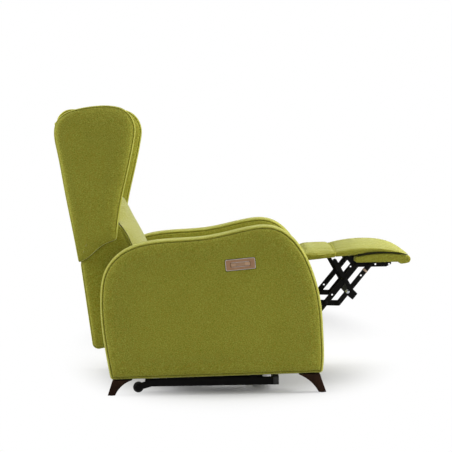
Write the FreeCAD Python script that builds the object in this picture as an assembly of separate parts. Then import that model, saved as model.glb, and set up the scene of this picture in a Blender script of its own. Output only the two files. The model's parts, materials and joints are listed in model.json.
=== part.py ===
import FreeCAD, Part
import math
import os

# Power recliner with a wing back, drawn with its footrest raised and its back upright.
# Millimetres. X runs forward as the sitter looks, Y to the sitter's left, Z up from the floor.

V = FreeCAD.Vector
RIGHT, LEFT = -1, 1

# Overall sizes
chair_width = 760.0
arm_thickness = 120.0
arm_length = 862.0
arm_height = 652.0
arm_rear_x = -521.0
back_side_gap = 10.0
seat_side_gap = 4.0

# Arm cover and its timber
arm_edge_round = 14.0
arm_wall = 16.0
arm_frame_inset = 70.0
arm_frame_top_inset = 132.0
arm_frame_bottom_inset = 26.0
arm_post_width = 62.0
arm_rail_height = 55.0
fit_gap = 0.3

# Shares of arm_length and arm_height: up the rear edge, over the crest and down the front
arm_outline_shares = (
    (0.038, 0.091), (0.014, 0.276), (0.0, 0.598), (0.024, 0.748), (0.108, 0.863),
    (0.256, 0.920), (0.488, 0.941), (0.686, 0.993), (0.741, 1.0), (0.797, 0.989),
    (0.886, 0.904), (0.953, 0.744), (0.993, 0.537), (1.003, 0.33), (1.004, 0.20), (0.998, 0.113))

# Legs
leg_thickness = 42.0
leg_setback = 9.0
leg_foot_length = 29.0
rear_leg_x = -496.0
rear_leg_length = 96.0
rear_leg_lean = 19.0
front_leg_x = 349.0
front_leg_length = 106.0
front_leg_lean = 24.0
leg_curve_depth = 7.0
glide_height = 2.5
glide_radius = 10.0

# Base frame of square tube with transport wheels at the rear
tube_wall = 2.0
rail_arm_offset = 30.0
rail_width = 28.0
rail_bottom = 24.0
rail_height = 28.0
rail_front_x = 169.0
rail_rear_x = -354.0
cross_tube_depth = 22.0
cross_tube_rear_x = -300.0
end_cap_length = 4.0
end_cap_margin = 4.0
wheel_radius = 20.5
wheel_width = 17.0
wheel_centre_x = -381.0
wheel_floor_gap = 1.0
wheel_side_gap = 0.4
wheel_rim = 5.0
wheel_recess = 2.5
axle_radius = 4.0
axle_gap = 0.08
fork_thickness = 3.0
fork_lap = 32.0
fork_end_radius = 11.0
axle_head = 2.5
arm_bracket_length = 31.0
arm_bracket_x = (-262.0, 54.0)

# Mechanism side plates and the cross tubes between them
plate_thickness = 4.0
plate_arm_gap = 32.0
plate_top_z = 424.0
plate_foot_front_x = 122.0
plate_foot_rear_x = -285.0
plate_rear_clear = 22.0
plate_boss_radius = 24.0
plate_corner = 16.0
plate_hole_radius = 54.0
plate_hole_shares = (0.22, 0.50, 0.78)
plate_hole_level = 0.52
mech_tube = 25.0
mech_tube_z = 235.0
mech_tube_rear_x = -255.0
mech_tube_front_x = 95.0

# Seat frame, webbing and cushion
seat_frame_rear_x = -305.0
seat_frame_front_x = 235.0
seat_rail_height = 44.0
seat_rail_width = 26.0
web_thickness = 2.5
web_width = 50.0
web_count_long = 4
web_count_cross = 5
seat_rear_x = -318.0
seat_front_x = 262.0
seat_side_height = 88.0
seat_crown = 42.0
seat_side_bulge = 7.0
# Per section: share of the seat length, of the width, of the side height and of the crown
seat_section_shares = (
    (0.0, 0.965, 0.62, 0.35), (0.10, 0.985, 0.76, 0.72), (0.30, 1.0, 0.86, 1.0),
    (0.55, 1.0, 0.92, 1.0), (0.80, 1.0, 0.98, 0.90), (0.94, 0.985, 0.98, 0.72), (1.0, 0.965, 0.86, 0.55))

# Back, drawn upright about its pivot and then leaned back
back_pivot_x = -330.0
back_pivot_z = 400.0
back_lean_angle = 10.2
back_rear_u = -267.0
back_bottom_w = -197.0
back_mid_w = 157.0
back_top_w = 735.0
back_front_u = -90.0
back_low_front_u = -140.0
back_step_w = 42.0
back_corner = 22.0
back_wall = 15.0
back_upper_rear_u = -238.0
back_panel_thickness = 8.0
back_panel_margin = 14.0
back_shell_top_w = 214.0
back_stile_width = 40.0
back_stile_depth = 36.0
back_rail_height = 52.0
back_rail_shares = (0.0, 0.30, 0.62, 1.0)
back_web_height = 50.0
back_web_shares = (0.16, 0.44, 0.52, 0.72, 0.82)

# Wings
wing_overhang = 12.0
wing_thickness = 62.0
wing_rear_u = -248.0
wing_depth = 314.0
wing_low_w = 157.0
wing_height = 593.0
wing_edge_round = 12.0
wing_outline_shares = (
    (-0.020, 0.0), (-0.017, 0.15), (-0.017, 0.50), (-0.012, 0.75), (0.0, 0.88), (0.050, 0.953),
    (0.142, 0.988), (0.30, 0.995), (0.46, 0.999), (0.77, 0.975), (0.905, 0.940), (0.99, 0.874),
    (1.005, 0.80), (0.967, 0.73), (0.787, 0.503), (0.599, 0.266), (0.506, 0.102))
wing_under_shares = ((0.381, 0.092), (0.245, 0.064), (0.115, 0.022))

# Back cushions; per section: share of height, of half width, front share of depth, crown share
lumbar_low_w = 52.0
lumbar_height = 322.0
lumbar_depth = 104.0
lumbar_crown = 24.0
lumbar_bulge = 6.0
lumbar_section_shares = (
    (0.0, 0.92, 0.56, 0.4), (0.10, 0.99, 0.80, 0.8), (0.35, 1.0, 0.78, 1.0),
    (0.56, 0.95, 0.70, 1.0), (0.76, 0.84, 0.52, 1.0), (0.92, 0.81, 0.30, 0.8), (1.0, 0.79, 0.18, 0.5))
head_low_w = 377.0
head_height = 352.0
head_depth = 66.0
head_crown = 20.0
head_bulge = 5.0
head_section_shares = (
    (0.0, 0.97, 0.30, 0.5), (0.12, 1.0, 0.62, 1.0), (0.45, 1.0, 0.66, 1.0),
    (0.80, 1.0, 0.62, 1.0), (0.95, 0.985, 0.46, 0.8), (1.0, 0.96, 0.28, 0.4))

# Back hinge brackets and drive lever
back_arm_thickness = 4.0
back_arm_side_gap = 0.5
back_arm_radius = 18.0
back_arm_height = 34.0
back_flange_width = 40.0
back_flange_top_w = 36.0
back_flange_bottom_w = -120.0
pivot_radius = 6.0
pivot_gap = 0.06
pivot_head_radius = 10.0
pivot_head = 3.0
back_lever_length = 110.0
back_lever_angle = -104.0
back_swing_angle = 28.0

# Footrest linkage
crank_x = 165.0
crank_z = 340.0
crank_reach = 196.2
crank_slope_angle = -2.2
crank_depth = 22.0
crank_boss_radius = 18.0
link_pitch = 51.0
link_length = 192.0
link_rise_angle = 50.1
link_width = 22.0
link_two_width = 20.0
link_tail = 46.0
crank_swing_angle = 90.0
bar_thickness = 4.0
layer_gap = 0.5
linkage_plate_gap = 16.0
pin_radius = 5.0
pin_gap = 0.05
pin_head_radius = 7.5
pin_head = 1.8
rivet_hole_radius = 3.6
near_hole_share = 0.216
far_hole_share = 0.735
prop_pivot_share = 0.633
prop_upper = 83.0
prop_lower = 46.0
prop_angle = 118.5
prop_width = 17.0
tie_bar_section = (27.0, 31.0)
tie_bar_along = 61.0
tie_bar_side = 22.5
tie_bar_wall = 3.0
tie_plug_length = 18.0
torque_tube_radius = 12.7
torque_tube_wall = 2.5
bush_wall = 2.6
bush_gap = 0.06
bush_flange = 1.6
bush_flange_radius = 20.0
foot_lever_length = 50.0
lever_thickness = 6.0
lever_radius = 12.0
lever_pin_radius = 5.0

# Footrest bracket, boards and pads, placed from the upper pin of the first link
bracket_depth = 20.0
bracket_front = 139.0
bracket_hole_shares = (0.55, 0.94)
bracket_rise_width = 34.0
bracket_flange = 26.0
link_top_clearance = 1.2
board_rear = 9.0
board_length = 222.0
board_thickness = 26.0
board_crown = 11.0
board_end_round = 9.0
board_lip_length = 48.0
board_lip_drop = 9.0
board_side_gap = 14.0
core_thickness = 12.0
core_end_margin = 22.0
core_side_margin = 14.0
pad_side_gap = 10.0
pad_seam_inset = 74.0
pad_overhang = -3.0
pad_edge_height = 30.0
pad_crown = 24.0
pad_side_bulge = 6.0
pad_seat_gap = 0.3
flap_gap = 6.0
flap_drop = 21.0
flap_core_thickness = 9.0
# Per section: share of the pad length, of the width, of the edge height and of the crown
pad_section_shares = (
    (0.0, 0.985, 0.80, 0.50), (0.20, 1.0, 0.98, 0.85), (0.38, 1.0, 1.02, 1.0),
    (0.56, 1.0, 1.0, 1.05), (0.76, 1.0, 0.80, 0.98), (0.90, 0.99, 0.44, 0.70), (1.0, 0.965, 0.13, 0.12))
flap_section_shares = ((0.0, 0.965, 0.86, 0.12), (0.30, 0.98, 0.90, 0.26), (0.70, 0.985, 0.86, 0.40))

# Linear actuators
actuator_y = 70.0
actuator_rail_width = 34.0
actuator_rail_height = 28.0
actuator_gearbox_length = 56.0
actuator_gearbox_width = 44.0
actuator_gearbox_height = 46.0
motor_radius = 22.0
motor_length = 92.0
rod_radius = 10.0
rod_bore_gap = 0.5
rod_hidden = 150.0
clevis_half_height = 17.0
clevis_cheek = 5.0
clevis_gap = 0.6
clevis_length = 46.0
foot_slot_play = 1.9
back_slot_play = 0.5
foot_rail_front_x = 80.0
back_rail_rear_x = -253.0
mount_plate_thickness = 5.0
mount_pin_radius = 6.0
mount_eye_radius = 13.0
mount_side_gap = 0.5

# Control plate in the right arm
plate_length = 114.0
plate_height = 42.0
plate_tilt_angle = 4.6
plate_centre_x = 24.5
plate_centre_z = 503.5
plate_sheet = 2.5
plate_round = 4.0
slot_length = 75.0
slot_height = 17.0
button_length = 20.0
button_height = 13.0
button_stand = 1.5
button_travel = 1.5
button_gap = 0.4
switch_depth = 14.0
switch_wall = 2.0
switch_margin = 7.0

# Control electronics
control_box_length = 120.0
control_box_height = 70.0
control_box_depth = 32.0
control_box_x = -150.0
control_box_z = 120.0
control_box_round = 4.0

# Values worked out from the sizes above
half_width = chair_width / 2
arm_inner_y = half_width - arm_thickness
back_half_width = arm_inner_y - back_side_gap
seat_half_width = arm_inner_y - seat_side_gap
wing_outer_y = arm_inner_y + wing_overhang
plate_inner_y = arm_inner_y - plate_arm_gap
linkage_inner_y = plate_inner_y - linkage_plate_gap
rail_half_spacing = arm_inner_y + rail_arm_offset
board_half_width = arm_inner_y - board_side_gap
pad_half_width = arm_inner_y - pad_side_gap
rail_top = rail_bottom + rail_height
rail_inner_y = rail_half_spacing - rail_width / 2
rail_outer_y = rail_half_spacing + rail_width / 2
seat_frame_half = plate_inner_y - fit_gap
link_y = linkage_inner_y + bar_thickness + layer_gap
prop_y = link_y + bar_thickness + layer_gap
seat_base_z = plate_top_z + web_thickness + fit_gap
wing_inner_y = wing_outer_y - wing_thickness
overrun = arm_edge_round


def on_ray(point, angle, reach):
    """The point at a distance along an angle in the XZ plane, degrees up from +X."""
    turn = math.radians(angle)
    return V(point.x + reach * math.cos(turn), point.y, point.z + reach * math.sin(turn))


crank_pivot = V(crank_x, 0, crank_z)
link_one_foot = on_ray(crank_pivot, crank_slope_angle, crank_reach)
link_two_foot = on_ray(crank_pivot, crank_slope_angle, crank_reach + link_pitch)
link_one_top = on_ray(link_one_foot, link_rise_angle, link_length)
link_two_top = on_ray(link_two_foot, link_rise_angle, link_length)
prop_pivot = on_ray(link_one_foot, link_rise_angle, link_length * prop_pivot_share)
board_bottom_z = link_one_top.z + link_width / 2 + link_top_clearance
board_rear_x = link_one_top.x - board_rear
pad_seam_x = board_rear_x - pad_seam_inset
pad_tip_x = board_rear_x + board_length + pad_overhang
pad_underside_z = board_bottom_z + board_thickness + pad_seat_gap
foot_actuator_z = crank_z - foot_lever_length * (1 + math.cos(math.radians(crank_swing_angle / 2))) / 2
back_pivot = V(back_pivot_x, 0, back_pivot_z)
back_lever_pin = on_ray(back_pivot, back_lever_angle, back_lever_length)
back_actuator_z = back_pivot_z - back_lever_length * (1 + math.cos(math.radians(back_swing_angle / 2))) / 2
wheel_centre_z = wheel_radius + wheel_floor_gap


def block(x0, x1, y0, y1, z0, z1):
    return Part.makeBox(x1 - x0, y1 - y0, z1 - z0, V(x0, y0, z0))


def rod_y(point, radius, y0, y1):
    return Part.makeCylinder(radius, y1 - y0, V(point.x, y0, point.z), V(0, 1, 0))


def slab(wire, y0, y1):
    """An outline in the XZ plane made as thick as the stretch from y0 to y1."""
    face = Part.Face(wire)
    face.translate(V(0, y0, 0))
    return face.extrude(V(0, y1 - y0, 0))


def side_slab(wire, inner, outer, side):
    return slab(wire, min(side * inner, side * outer), max(side * inner, side * outer))


def side_rod(point, radius, inner, outer, side):
    return rod_y(point, radius, min(side * inner, side * outer), max(side * inner, side * outer))


def side_block(x0, x1, inner, outer, z0, z1, side):
    return block(x0, x1, min(side * inner, side * outer), max(side * inner, side * outer), z0, z1)


def rounded_wire(points, radius):
    """A closed outline of straight runs whose corners are arcs of one radius."""
    edges = []
    tangents = []
    for i, corner in enumerate(points):
        before = (points[i - 1] - corner).normalize()
        after = (points[(i + 1) % len(points)] - corner).normalize()
        half = before.getAngle(after) / 2
        run = radius / math.tan(half)
        middle = (before + after).normalize()
        top = corner + middle * (radius / math.sin(half) - radius)
        tangents.append((corner + before * run, top, corner + after * run))
    for i, (start, top, end) in enumerate(tangents):
        edges.append(Part.Arc(start, top, end).toShape())
        edges.append(Part.LineSegment(end, tangents[(i + 1) % len(points)][0]).toShape())
    return Part.Wire(edges)


def corners(*pairs):
    return [V(x, 0, z) for x, z in pairs]


def curve_through(points):
    spline = Part.BSplineCurve()
    spline.interpolate(points)
    return spline.toShape()


def bar_wire(start, end, width):
    """A straight bar with round ends centred on two points."""
    along = (end - start).normalize()
    across = V(-along.z, 0, along.x) * (width / 2)
    reach = along * (width / 2)
    edges = [
        Part.LineSegment(start - across, end - across).toShape(),
        Part.Arc(end - across, end + reach, end + across).toShape(),
        Part.LineSegment(end + across, start + across).toShape(),
        Part.Arc(start + across, start - reach, start - across).toShape()]
    return Part.Wire(edges)


def cushion_section(place, width, low, edge, crown, bulge):
    """A cushion cut across its length: flat below, bowed sides and a crowned top."""
    foot = [V(place, -width, low), V(place, width, low)]
    brow = [V(place, -width, edge), V(place, width, edge)]
    half_way = (low + edge) / 2
    return Part.Wire([
        Part.LineSegment(foot[0], foot[1]).toShape(),
        Part.Arc(foot[1], V(place, width + bulge, half_way), brow[1]).toShape(),
        Part.Arc(brow[1], V(place, 0, crown), brow[0]).toShape(),
        Part.Arc(brow[0], V(place, -width - bulge, half_way), foot[0]).toShape()])


def loft(wires):
    return Part.makeLoft(wires, True, False)


def tube(x0, x1, y0, y1, z0, z1, axis):
    """A square tube, open at the two ends along its axis."""
    outer = block(x0, x1, y0, y1, z0, z1)
    wall = V(tube_wall, tube_wall, tube_wall)
    wall[axis] = -overrun
    bore = block(x0 + wall.x, x1 - wall.x, y0 + wall.y, y1 - wall.y, z0 + wall.z, z1 - wall.z)
    return outer.cut(bore)


def pinned(point, inner, outer, side, radius=pin_radius, head_radius=pin_head_radius, head=pin_head):
    """A rivet through the layers from inner to outer, with a flat head beyond each."""
    stem = side_rod(point, radius, inner, outer, side)
    heads = [side_rod(point, head_radius, inner - head, inner, side),
             side_rod(point, head_radius, outer, outer + head, side)]
    return stem.fuse(heads).removeSplitter()


def lean(shape):
    """Carries a shape drawn upright about the back's pivot to where the back stands."""
    turned = shape.copy()
    turned.rotate(V(0, 0, 0), V(0, 1, 0), -back_lean_angle)
    turned.translate(back_pivot)
    return turned


def edges_on(shape, y, above):
    """Edges that lie in the plane y and stay above a height, for rounding an outline."""
    found = []
    for edge in shape.Edges:
        box = edge.BoundBox
        flat = abs(box.YMin - y) < fit_gap and abs(box.YMax - y) < fit_gap
        if flat and box.ZMax > above:
            found.append(edge)
    return found


def save(name, shape):
    shape.exportStep("parts/" + name + ".step")
    print(name, len(shape.Solids), round(shape.Volume / 1000), shape.isValid())


def group(shapes):
    return Part.makeCompound([solid for shape in shapes for solid in shape.Solids])


def both(maker):
    return group([maker(RIGHT), maker(LEFT)])


# Arms

def arm_point(share):
    return V(arm_rear_x + share[0] * arm_length, 0, share[1] * arm_height)


def arm_bottom_z(x):
    """Height of the arm's straight underside, which rises to the front."""
    rear = arm_point(arm_outline_shares[0])
    front = arm_point(arm_outline_shares[-1])
    return rear.z + (front.z - rear.z) * (x - rear.x) / (front.x - rear.x)


def arm_wire():
    points = [arm_point(share) for share in arm_outline_shares]
    return Part.Wire([curve_through(points), Part.LineSegment(points[-1], points[0]).toShape()])


def arm_hollow(clearance):
    """The space for the timber inside an arm cover, as four bounds in X and Z."""
    x0 = arm_rear_x + arm_frame_inset + clearance
    x1 = arm_rear_x + arm_length - arm_frame_inset - clearance
    z0 = arm_bottom_z(x1) + arm_frame_bottom_inset + clearance
    z1 = arm_height - arm_frame_top_inset - clearance
    return x0, x1, z0, z1


def arm_cover(side):
    body = side_slab(arm_wire(), arm_inner_y, half_width, side)
    outline = [edge for y in (arm_inner_y, half_width)
               for edge in edges_on(body, side * y, arm_height / 2)]
    body = body.makeFillet(arm_edge_round, outline)
    x0, x1, z0, z1 = arm_hollow(0)
    body = body.cut(side_block(x0, x1, arm_inner_y + arm_wall, half_width - arm_wall, z0, z1, side))
    if side == RIGHT:
        body = body.cut(switch_pocket(0))
    return body


def arm_frame(side):
    x0, x1, z0, z1 = arm_hollow(fit_gap)
    inner = arm_inner_y + arm_wall + fit_gap
    outer = half_width - arm_wall - fit_gap
    board = side_block(x0, x1, inner, outer, z0, z1, side)
    window = side_block(x0 + arm_post_width, x1 - arm_post_width, inner - overrun, outer + overrun,
                        z0 + arm_rail_height, z1 - arm_rail_height, side)
    return board.cut(window)


# Control plate, switch housing and buttons, drawn level and then tilted with the arm

def tilt_plate(shape):
    turned = shape.copy()
    turned.rotate(V(0, 0, 0), V(0, 1, 0), -plate_tilt_angle)
    turned.translate(V(plate_centre_x, 0, plate_centre_z))
    return turned


def centred_wire(length, height, radius):
    x, z = length / 2, height / 2
    return rounded_wire(corners((-x, -z), (x, -z), (x, z), (-x, z)), radius)


def switch_pocket(clearance):
    length = plate_length - 2 * (switch_margin - clearance)
    height = plate_height - 2 * (switch_margin - clearance)
    wire = centred_wire(length, height, plate_round)
    return tilt_plate(slab(wire, -half_width - overrun, -half_width + switch_depth + clearance))


def control_plate():
    face_y = -half_width - plate_sheet
    sheet = slab(centred_wire(plate_length, plate_height, plate_round), face_y, -half_width)
    sheet = sheet.makeChamfer(plate_sheet / 2, edges_on(sheet, face_y, -plate_height))
    slot = slab(centred_wire(slot_length, slot_height, plate_round),
                face_y - overrun, -half_width + overrun)
    return tilt_plate(sheet.cut(slot))


def button_centre_x(end):
    return end * (slot_length / 2 - button_length / 2 - button_gap)


def switch_housing():
    length = plate_length - 2 * switch_margin - 2 * fit_gap
    height = plate_height - 2 * switch_margin - 2 * fit_gap
    body = slab(centred_wire(length, height, plate_round), -half_width, -half_width + switch_depth)
    for end in (RIGHT, LEFT):
        x = button_centre_x(end)
        reach_x = button_length / 2 + button_gap
        reach_z = button_height / 2 + button_gap
        body = body.cut(block(x - reach_x, x + reach_x, -half_width - overrun,
                              -half_width + switch_depth - switch_wall, -reach_z, reach_z))
    return tilt_plate(body)


def button(end):
    wire = centred_wire(button_length, button_height, switch_wall)
    face_y = -half_width - plate_sheet - button_stand
    tail_y = -half_width + switch_depth - switch_wall - 2 * button_travel
    cap = slab(wire, face_y, tail_y)
    cap = cap.makeFillet(button_stand / 2, edges_on(cap, face_y, -plate_height))
    cap.translate(V(button_centre_x(end), 0, 0))
    return tilt_plate(cap)


# Legs with their glides

def leg_wire(foot_x, length, leaning, way):
    """A scimitar leg: straight outside, hollow curve inside; way is the side the foot points to."""
    outer_foot = V(foot_x, 0, glide_height)
    inner_foot = V(foot_x - way * leg_foot_length, 0, glide_height)
    outer_top = V(foot_x - way * leaning, 0, arm_bottom_z(foot_x - way * leaning))
    inner_x = foot_x - way * length
    inner_top = V(inner_x, 0, arm_bottom_z(inner_x))
    middle = (inner_foot + inner_top) / 2 + V(way * leg_curve_depth, 0, leg_curve_depth)
    return Part.Wire([
        Part.LineSegment(inner_foot, outer_foot).toShape(),
        Part.LineSegment(outer_foot, outer_top).toShape(),
        Part.LineSegment(outer_top, inner_top).toShape(),
        Part.Arc(inner_top, middle, inner_foot).toShape()])


def leg(foot_x, length, leaning, way, side):
    outer = half_width - leg_setback
    return side_slab(leg_wire(foot_x, length, leaning, way), outer - leg_thickness, outer, side)


def front_leg(side):
    return leg(front_leg_x, front_leg_length, front_leg_lean, 1, side)


def rear_leg(side):
    return leg(rear_leg_x, rear_leg_length, rear_leg_lean, -1, side)


def glides():
    made = []
    leg_y = half_width - leg_setback - leg_thickness / 2
    for side in (RIGHT, LEFT):
        for foot_x, way in ((rear_leg_x, -1), (front_leg_x, 1)):
            centre = V(foot_x - way * leg_foot_length / 2, side * leg_y, 0)
            made.append(Part.makeCylinder(glide_radius, glide_height, centre))
    return group(made)


# Base frame

def base_rail(side):
    low, high = min(side * rail_inner_y, side * rail_outer_y), max(side * rail_inner_y, side * rail_outer_y)
    return tube(rail_rear_x, rail_front_x - cross_tube_depth, low, high, rail_bottom, rail_top, 0)


def base_cross_tubes():
    reach = rail_outer_y - end_cap_length
    front = tube(rail_front_x - cross_tube_depth, rail_front_x, -reach, reach,
                 rail_bottom - fit_gap, rail_top + end_cap_margin, 1)
    rear = tube(cross_tube_rear_x, cross_tube_rear_x + cross_tube_depth, -rail_inner_y, rail_inner_y,
                rail_bottom, rail_top, 1)
    return group([front, rear])


def end_caps(side):
    inner = rail_outer_y - end_cap_length
    cap = side_block(rail_front_x - cross_tube_depth, rail_front_x, inner, rail_outer_y,
                     rail_bottom - fit_gap, rail_top + end_cap_margin, side)
    plug_gap = tube_wall + fit_gap
    plug = side_block(rail_front_x - cross_tube_depth + plug_gap, rail_front_x - plug_gap,
                      inner - cross_tube_depth / 2, inner, rail_bottom - fit_gap + plug_gap,
                      rail_top + end_cap_margin - plug_gap, side)
    return cap.fuse(plug).removeSplitter()


def wheel_centre():
    return V(wheel_centre_x, 0, wheel_centre_z)


def wheel_fork(side):
    made = []
    centre = wheel_centre()
    tail = V(rail_rear_x + fork_lap, 0, rail_bottom + rail_height / 2)
    wire = bar_wire(centre, tail, 2 * fork_end_radius)
    for inner in (rail_inner_y - fork_thickness, rail_outer_y):
        cheek = side_slab(wire, inner, inner + fork_thickness, side)
        hole = side_rod(centre, axle_radius + pin_gap, inner - overrun, inner + overrun, side)
        made.append(cheek.cut(hole))
    return group(made)


def wheel(side):
    """A transport wheel with a raised rim, a hub and a dished web."""
    centre = wheel_centre()
    inner = rail_half_spacing - wheel_width / 2
    outer = rail_half_spacing + wheel_width / 2
    body = side_rod(centre, wheel_radius, inner, outer, side)
    body = body.makeChamfer(wheel_recess / 2, body.Edges[:1] + body.Edges[2:])
    hub_half = rail_width / 2 - wheel_side_gap
    hub_radius = axle_radius + wheel_rim
    hub = side_rod(centre, hub_radius, rail_half_spacing - hub_half, rail_half_spacing + hub_half, side)
    for y0, y1 in ((inner - overrun, inner + wheel_recess), (outer - wheel_recess, outer + overrun)):
        dish = side_rod(centre, wheel_radius - wheel_rim, y0, y1, side)
        body = body.cut(dish)
    bore = side_rod(centre, axle_radius + axle_gap, inner - overrun, outer + overrun, side)
    return body.fuse(hub).cut(bore).removeSplitter()


def wheel_axle(side):
    return pinned(wheel_centre(), rail_inner_y - fork_thickness, rail_outer_y + fork_thickness, side,
                  axle_radius, axle_radius + wheel_recess, axle_head)


def arm_brackets(side):
    """Blocks of bent strip that carry the sloping arm on the level rail."""
    made = []
    for x in arm_bracket_x:
        end = x + arm_bracket_length
        low = rail_top + plate_thickness
        points = corners((x, low), (end, low), (end, arm_bottom_z(end)), (x, arm_bottom_z(x)))
        wire = Part.makePolygon(points + [points[0]])
        made.append(side_slab(wire, rail_inner_y, rail_outer_y, side))
    return group(made)


# Mechanism side plates

def plate_wire():
    rear_x = back_pivot_x - plate_rear_clear
    front_x = crank_x + plate_boss_radius
    return rounded_wire(corners(
        (plate_foot_rear_x, rail_top), (plate_foot_front_x, rail_top),
        (front_x, crank_z - plate_boss_radius), (front_x, plate_top_z),
        (rear_x, plate_top_z), (rear_x, back_pivot_z - plate_boss_radius)), plate_corner)


def side_plate(side):
    outer = plate_inner_y + plate_thickness
    plate = side_slab(plate_wire(), plate_inner_y, outer, side)
    foot = side_block(plate_foot_rear_x + plate_corner, plate_foot_front_x - plate_corner, plate_inner_y,
                      rail_outer_y, rail_top, rail_top + plate_thickness, side)
    plate = plate.fuse(foot)
    holes = [(crank_pivot, torque_tube_radius + bush_wall + bush_gap), (back_pivot, pivot_radius + pin_gap)]
    run = plate_foot_front_x - plate_foot_rear_x
    level = rail_top + (plate_top_z - rail_top) * plate_hole_level
    for share in plate_hole_shares:
        holes.append((V(plate_foot_rear_x + run * share, 0, level), plate_hole_radius))
    for point, radius in holes:
        plate = plate.cut(side_rod(point, radius, plate_inner_y - overrun, outer + overrun, side))
    return plate.removeSplitter()


def mech_cross_tubes():
    made = []
    half = mech_tube / 2
    reach = plate_inner_y - fit_gap
    for x in (mech_tube_rear_x, mech_tube_front_x):
        made.append(tube(x - half, x + half, -reach, reach, mech_tube_z - half, mech_tube_z + half, 1))
    return group(made)


def torque_bush(side):
    """A plastic bush with a collar, pressed in the side plate round the torque tube."""
    outer = plate_inner_y + plate_thickness
    radius = torque_tube_radius + bush_gap
    sleeve = side_rod(crank_pivot, radius + bush_wall, plate_inner_y - layer_gap, outer, side)
    collar = side_rod(crank_pivot, bush_flange_radius, outer, outer + bush_flange, side)
    bore = side_rod(crank_pivot, radius, plate_inner_y - overrun, outer + overrun, side)
    return sleeve.fuse(collar).cut(bore).removeSplitter()


# Seat

def seat_frame():
    low = plate_top_z - seat_rail_height
    outer = block(seat_frame_rear_x, seat_frame_front_x, -seat_frame_half, seat_frame_half, low, plate_top_z)
    window = block(seat_frame_rear_x + seat_rail_width, seat_frame_front_x - seat_rail_width,
                   seat_rail_width - seat_frame_half, seat_frame_half - seat_rail_width,
                   low - overrun, plate_top_z + overrun)
    return outer.cut(window)


def seat_webbing():
    """Straps stapled over the seat frame, crossing on one level."""
    straps = []
    run_x = seat_frame_front_x - seat_frame_rear_x
    run_y = 2 * seat_frame_half
    for i in range(web_count_long):
        y = -seat_frame_half + run_y * (i + 1) / (web_count_long + 1) - web_width / 2
        straps.append(block(seat_frame_rear_x, seat_frame_front_x, y, y + web_width,
                            plate_top_z, plate_top_z + web_thickness))
    for i in range(web_count_cross):
        x = seat_frame_rear_x + run_x * (i + 1) / (web_count_cross + 1) - web_width / 2
        straps.append(block(x, x + web_width, -seat_frame_half, seat_frame_half,
                            plate_top_z, plate_top_z + web_thickness))
    return straps[0].fuse(straps[1:]).removeSplitter()


def seat_cushion():
    wires = []
    for place, width, side, crown in seat_section_shares:
        edge = seat_base_z + side * seat_side_height
        wires.append(cushion_section(
            seat_rear_x + place * (seat_front_x - seat_rear_x), width * seat_half_width - seat_side_bulge,
            seat_base_z, edge, edge + crown * seat_crown, seat_side_bulge))
    return loft(wires)


# Back, drawn upright with its pivot at the origin

def shell_wire():
    """Side view of the broad lower part: hollow step below, sloping shoulder under the wings."""
    brow_u = wing_rear_u - back_corner / 4
    top = curve_through(corners((back_front_u, back_shell_top_w), (brow_u, back_mid_w)))
    rear = curve_through(corners(
        (brow_u, back_mid_w), (back_rear_u + back_corner / 4, 0),
        (back_rear_u, back_bottom_w / 2), (back_rear_u + back_corner / 4, back_bottom_w + back_corner / 2),
        (back_rear_u + back_corner, back_bottom_w)))
    runs = corners((back_rear_u + back_corner, back_bottom_w), (back_low_front_u, back_bottom_w),
                   (back_low_front_u, back_step_w), (back_front_u, back_step_w),
                   (back_front_u, back_shell_top_w))
    lines = [Part.LineSegment(runs[i], runs[i + 1]).toShape() for i in range(len(runs) - 1)]
    return Part.Wire([top, rear] + lines)


def wing(side):
    def place(share):
        return V(wing_rear_u + share[0] * wing_depth, 0, wing_low_w + share[1] * wing_height)
    outline = [place(share) for share in wing_outline_shares]
    under = [outline[-1]] + [place(share) for share in wing_under_shares] + [outline[0]]
    wire = Part.Wire([curve_through(outline), curve_through(under)])
    body = side_slab(wire, wing_inner_y, wing_outer_y, side)
    rims = [edge for y in (wing_inner_y, wing_outer_y) for edge in edges_on(body, side * y, wing_height)]
    return body.makeFillet(wing_edge_round, rims)


def upright_shell(margin):
    """The closed upholstered back; a margin gives the hollow inside its walls."""
    lower = slab(shell_wire(), -back_half_width, back_half_width)
    reach = wing_inner_y - fit_gap
    upper = block(back_upper_rear_u, back_front_u, -reach, reach, back_mid_w - back_corner, back_top_w)
    if margin == 0:
        return lower.fuse(upper)
    low = block(back_upper_rear_u + margin, back_low_front_u - margin, margin - back_half_width,
                back_half_width - margin, back_bottom_w + 2 * margin, back_mid_w - back_corner)
    high = block(back_upper_rear_u + margin, back_front_u - margin, margin - reach, reach - margin,
                 back_mid_w - back_corner, back_top_w - margin)
    return low.fuse(high)


def back_shell(wings):
    body = upright_shell(0).cut(wings[0].fuse(wings[1]))
    return body.cut(upright_shell(back_wall)).removeSplitter()


def back_frame():
    """Two stiles and cross rails of timber inside the back."""
    x0 = back_upper_rear_u + back_wall + fit_gap
    reach = wing_inner_y - 2 * fit_gap - back_wall
    low = back_bottom_w + 2 * back_wall + fit_gap
    high = back_top_w - back_wall - fit_gap
    parts = []
    x1 = x0 + back_stile_depth
    for side in (RIGHT, LEFT):
        parts.append(side_block(x0, x1, reach - back_stile_width, reach, low, high, side))
    for share in back_rail_shares:
        z = low + share * (high - low - back_rail_height)
        parts.append(block(x0, x1, -reach, reach, z, z + back_rail_height))
    return parts[0].fuse(parts[1:]).removeSplitter()


def back_webbing():
    x0 = back_upper_rear_u + back_wall + fit_gap + back_stile_depth
    reach = wing_inner_y - 2 * fit_gap - back_wall
    low = back_bottom_w + 2 * back_wall + fit_gap
    run = back_top_w - back_wall - fit_gap - low
    straps = []
    for share in back_web_shares:
        z = low + share * run
        straps.append(block(x0, x0 + web_thickness, -reach, reach, z, z + back_web_height))
    return group(straps)


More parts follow.
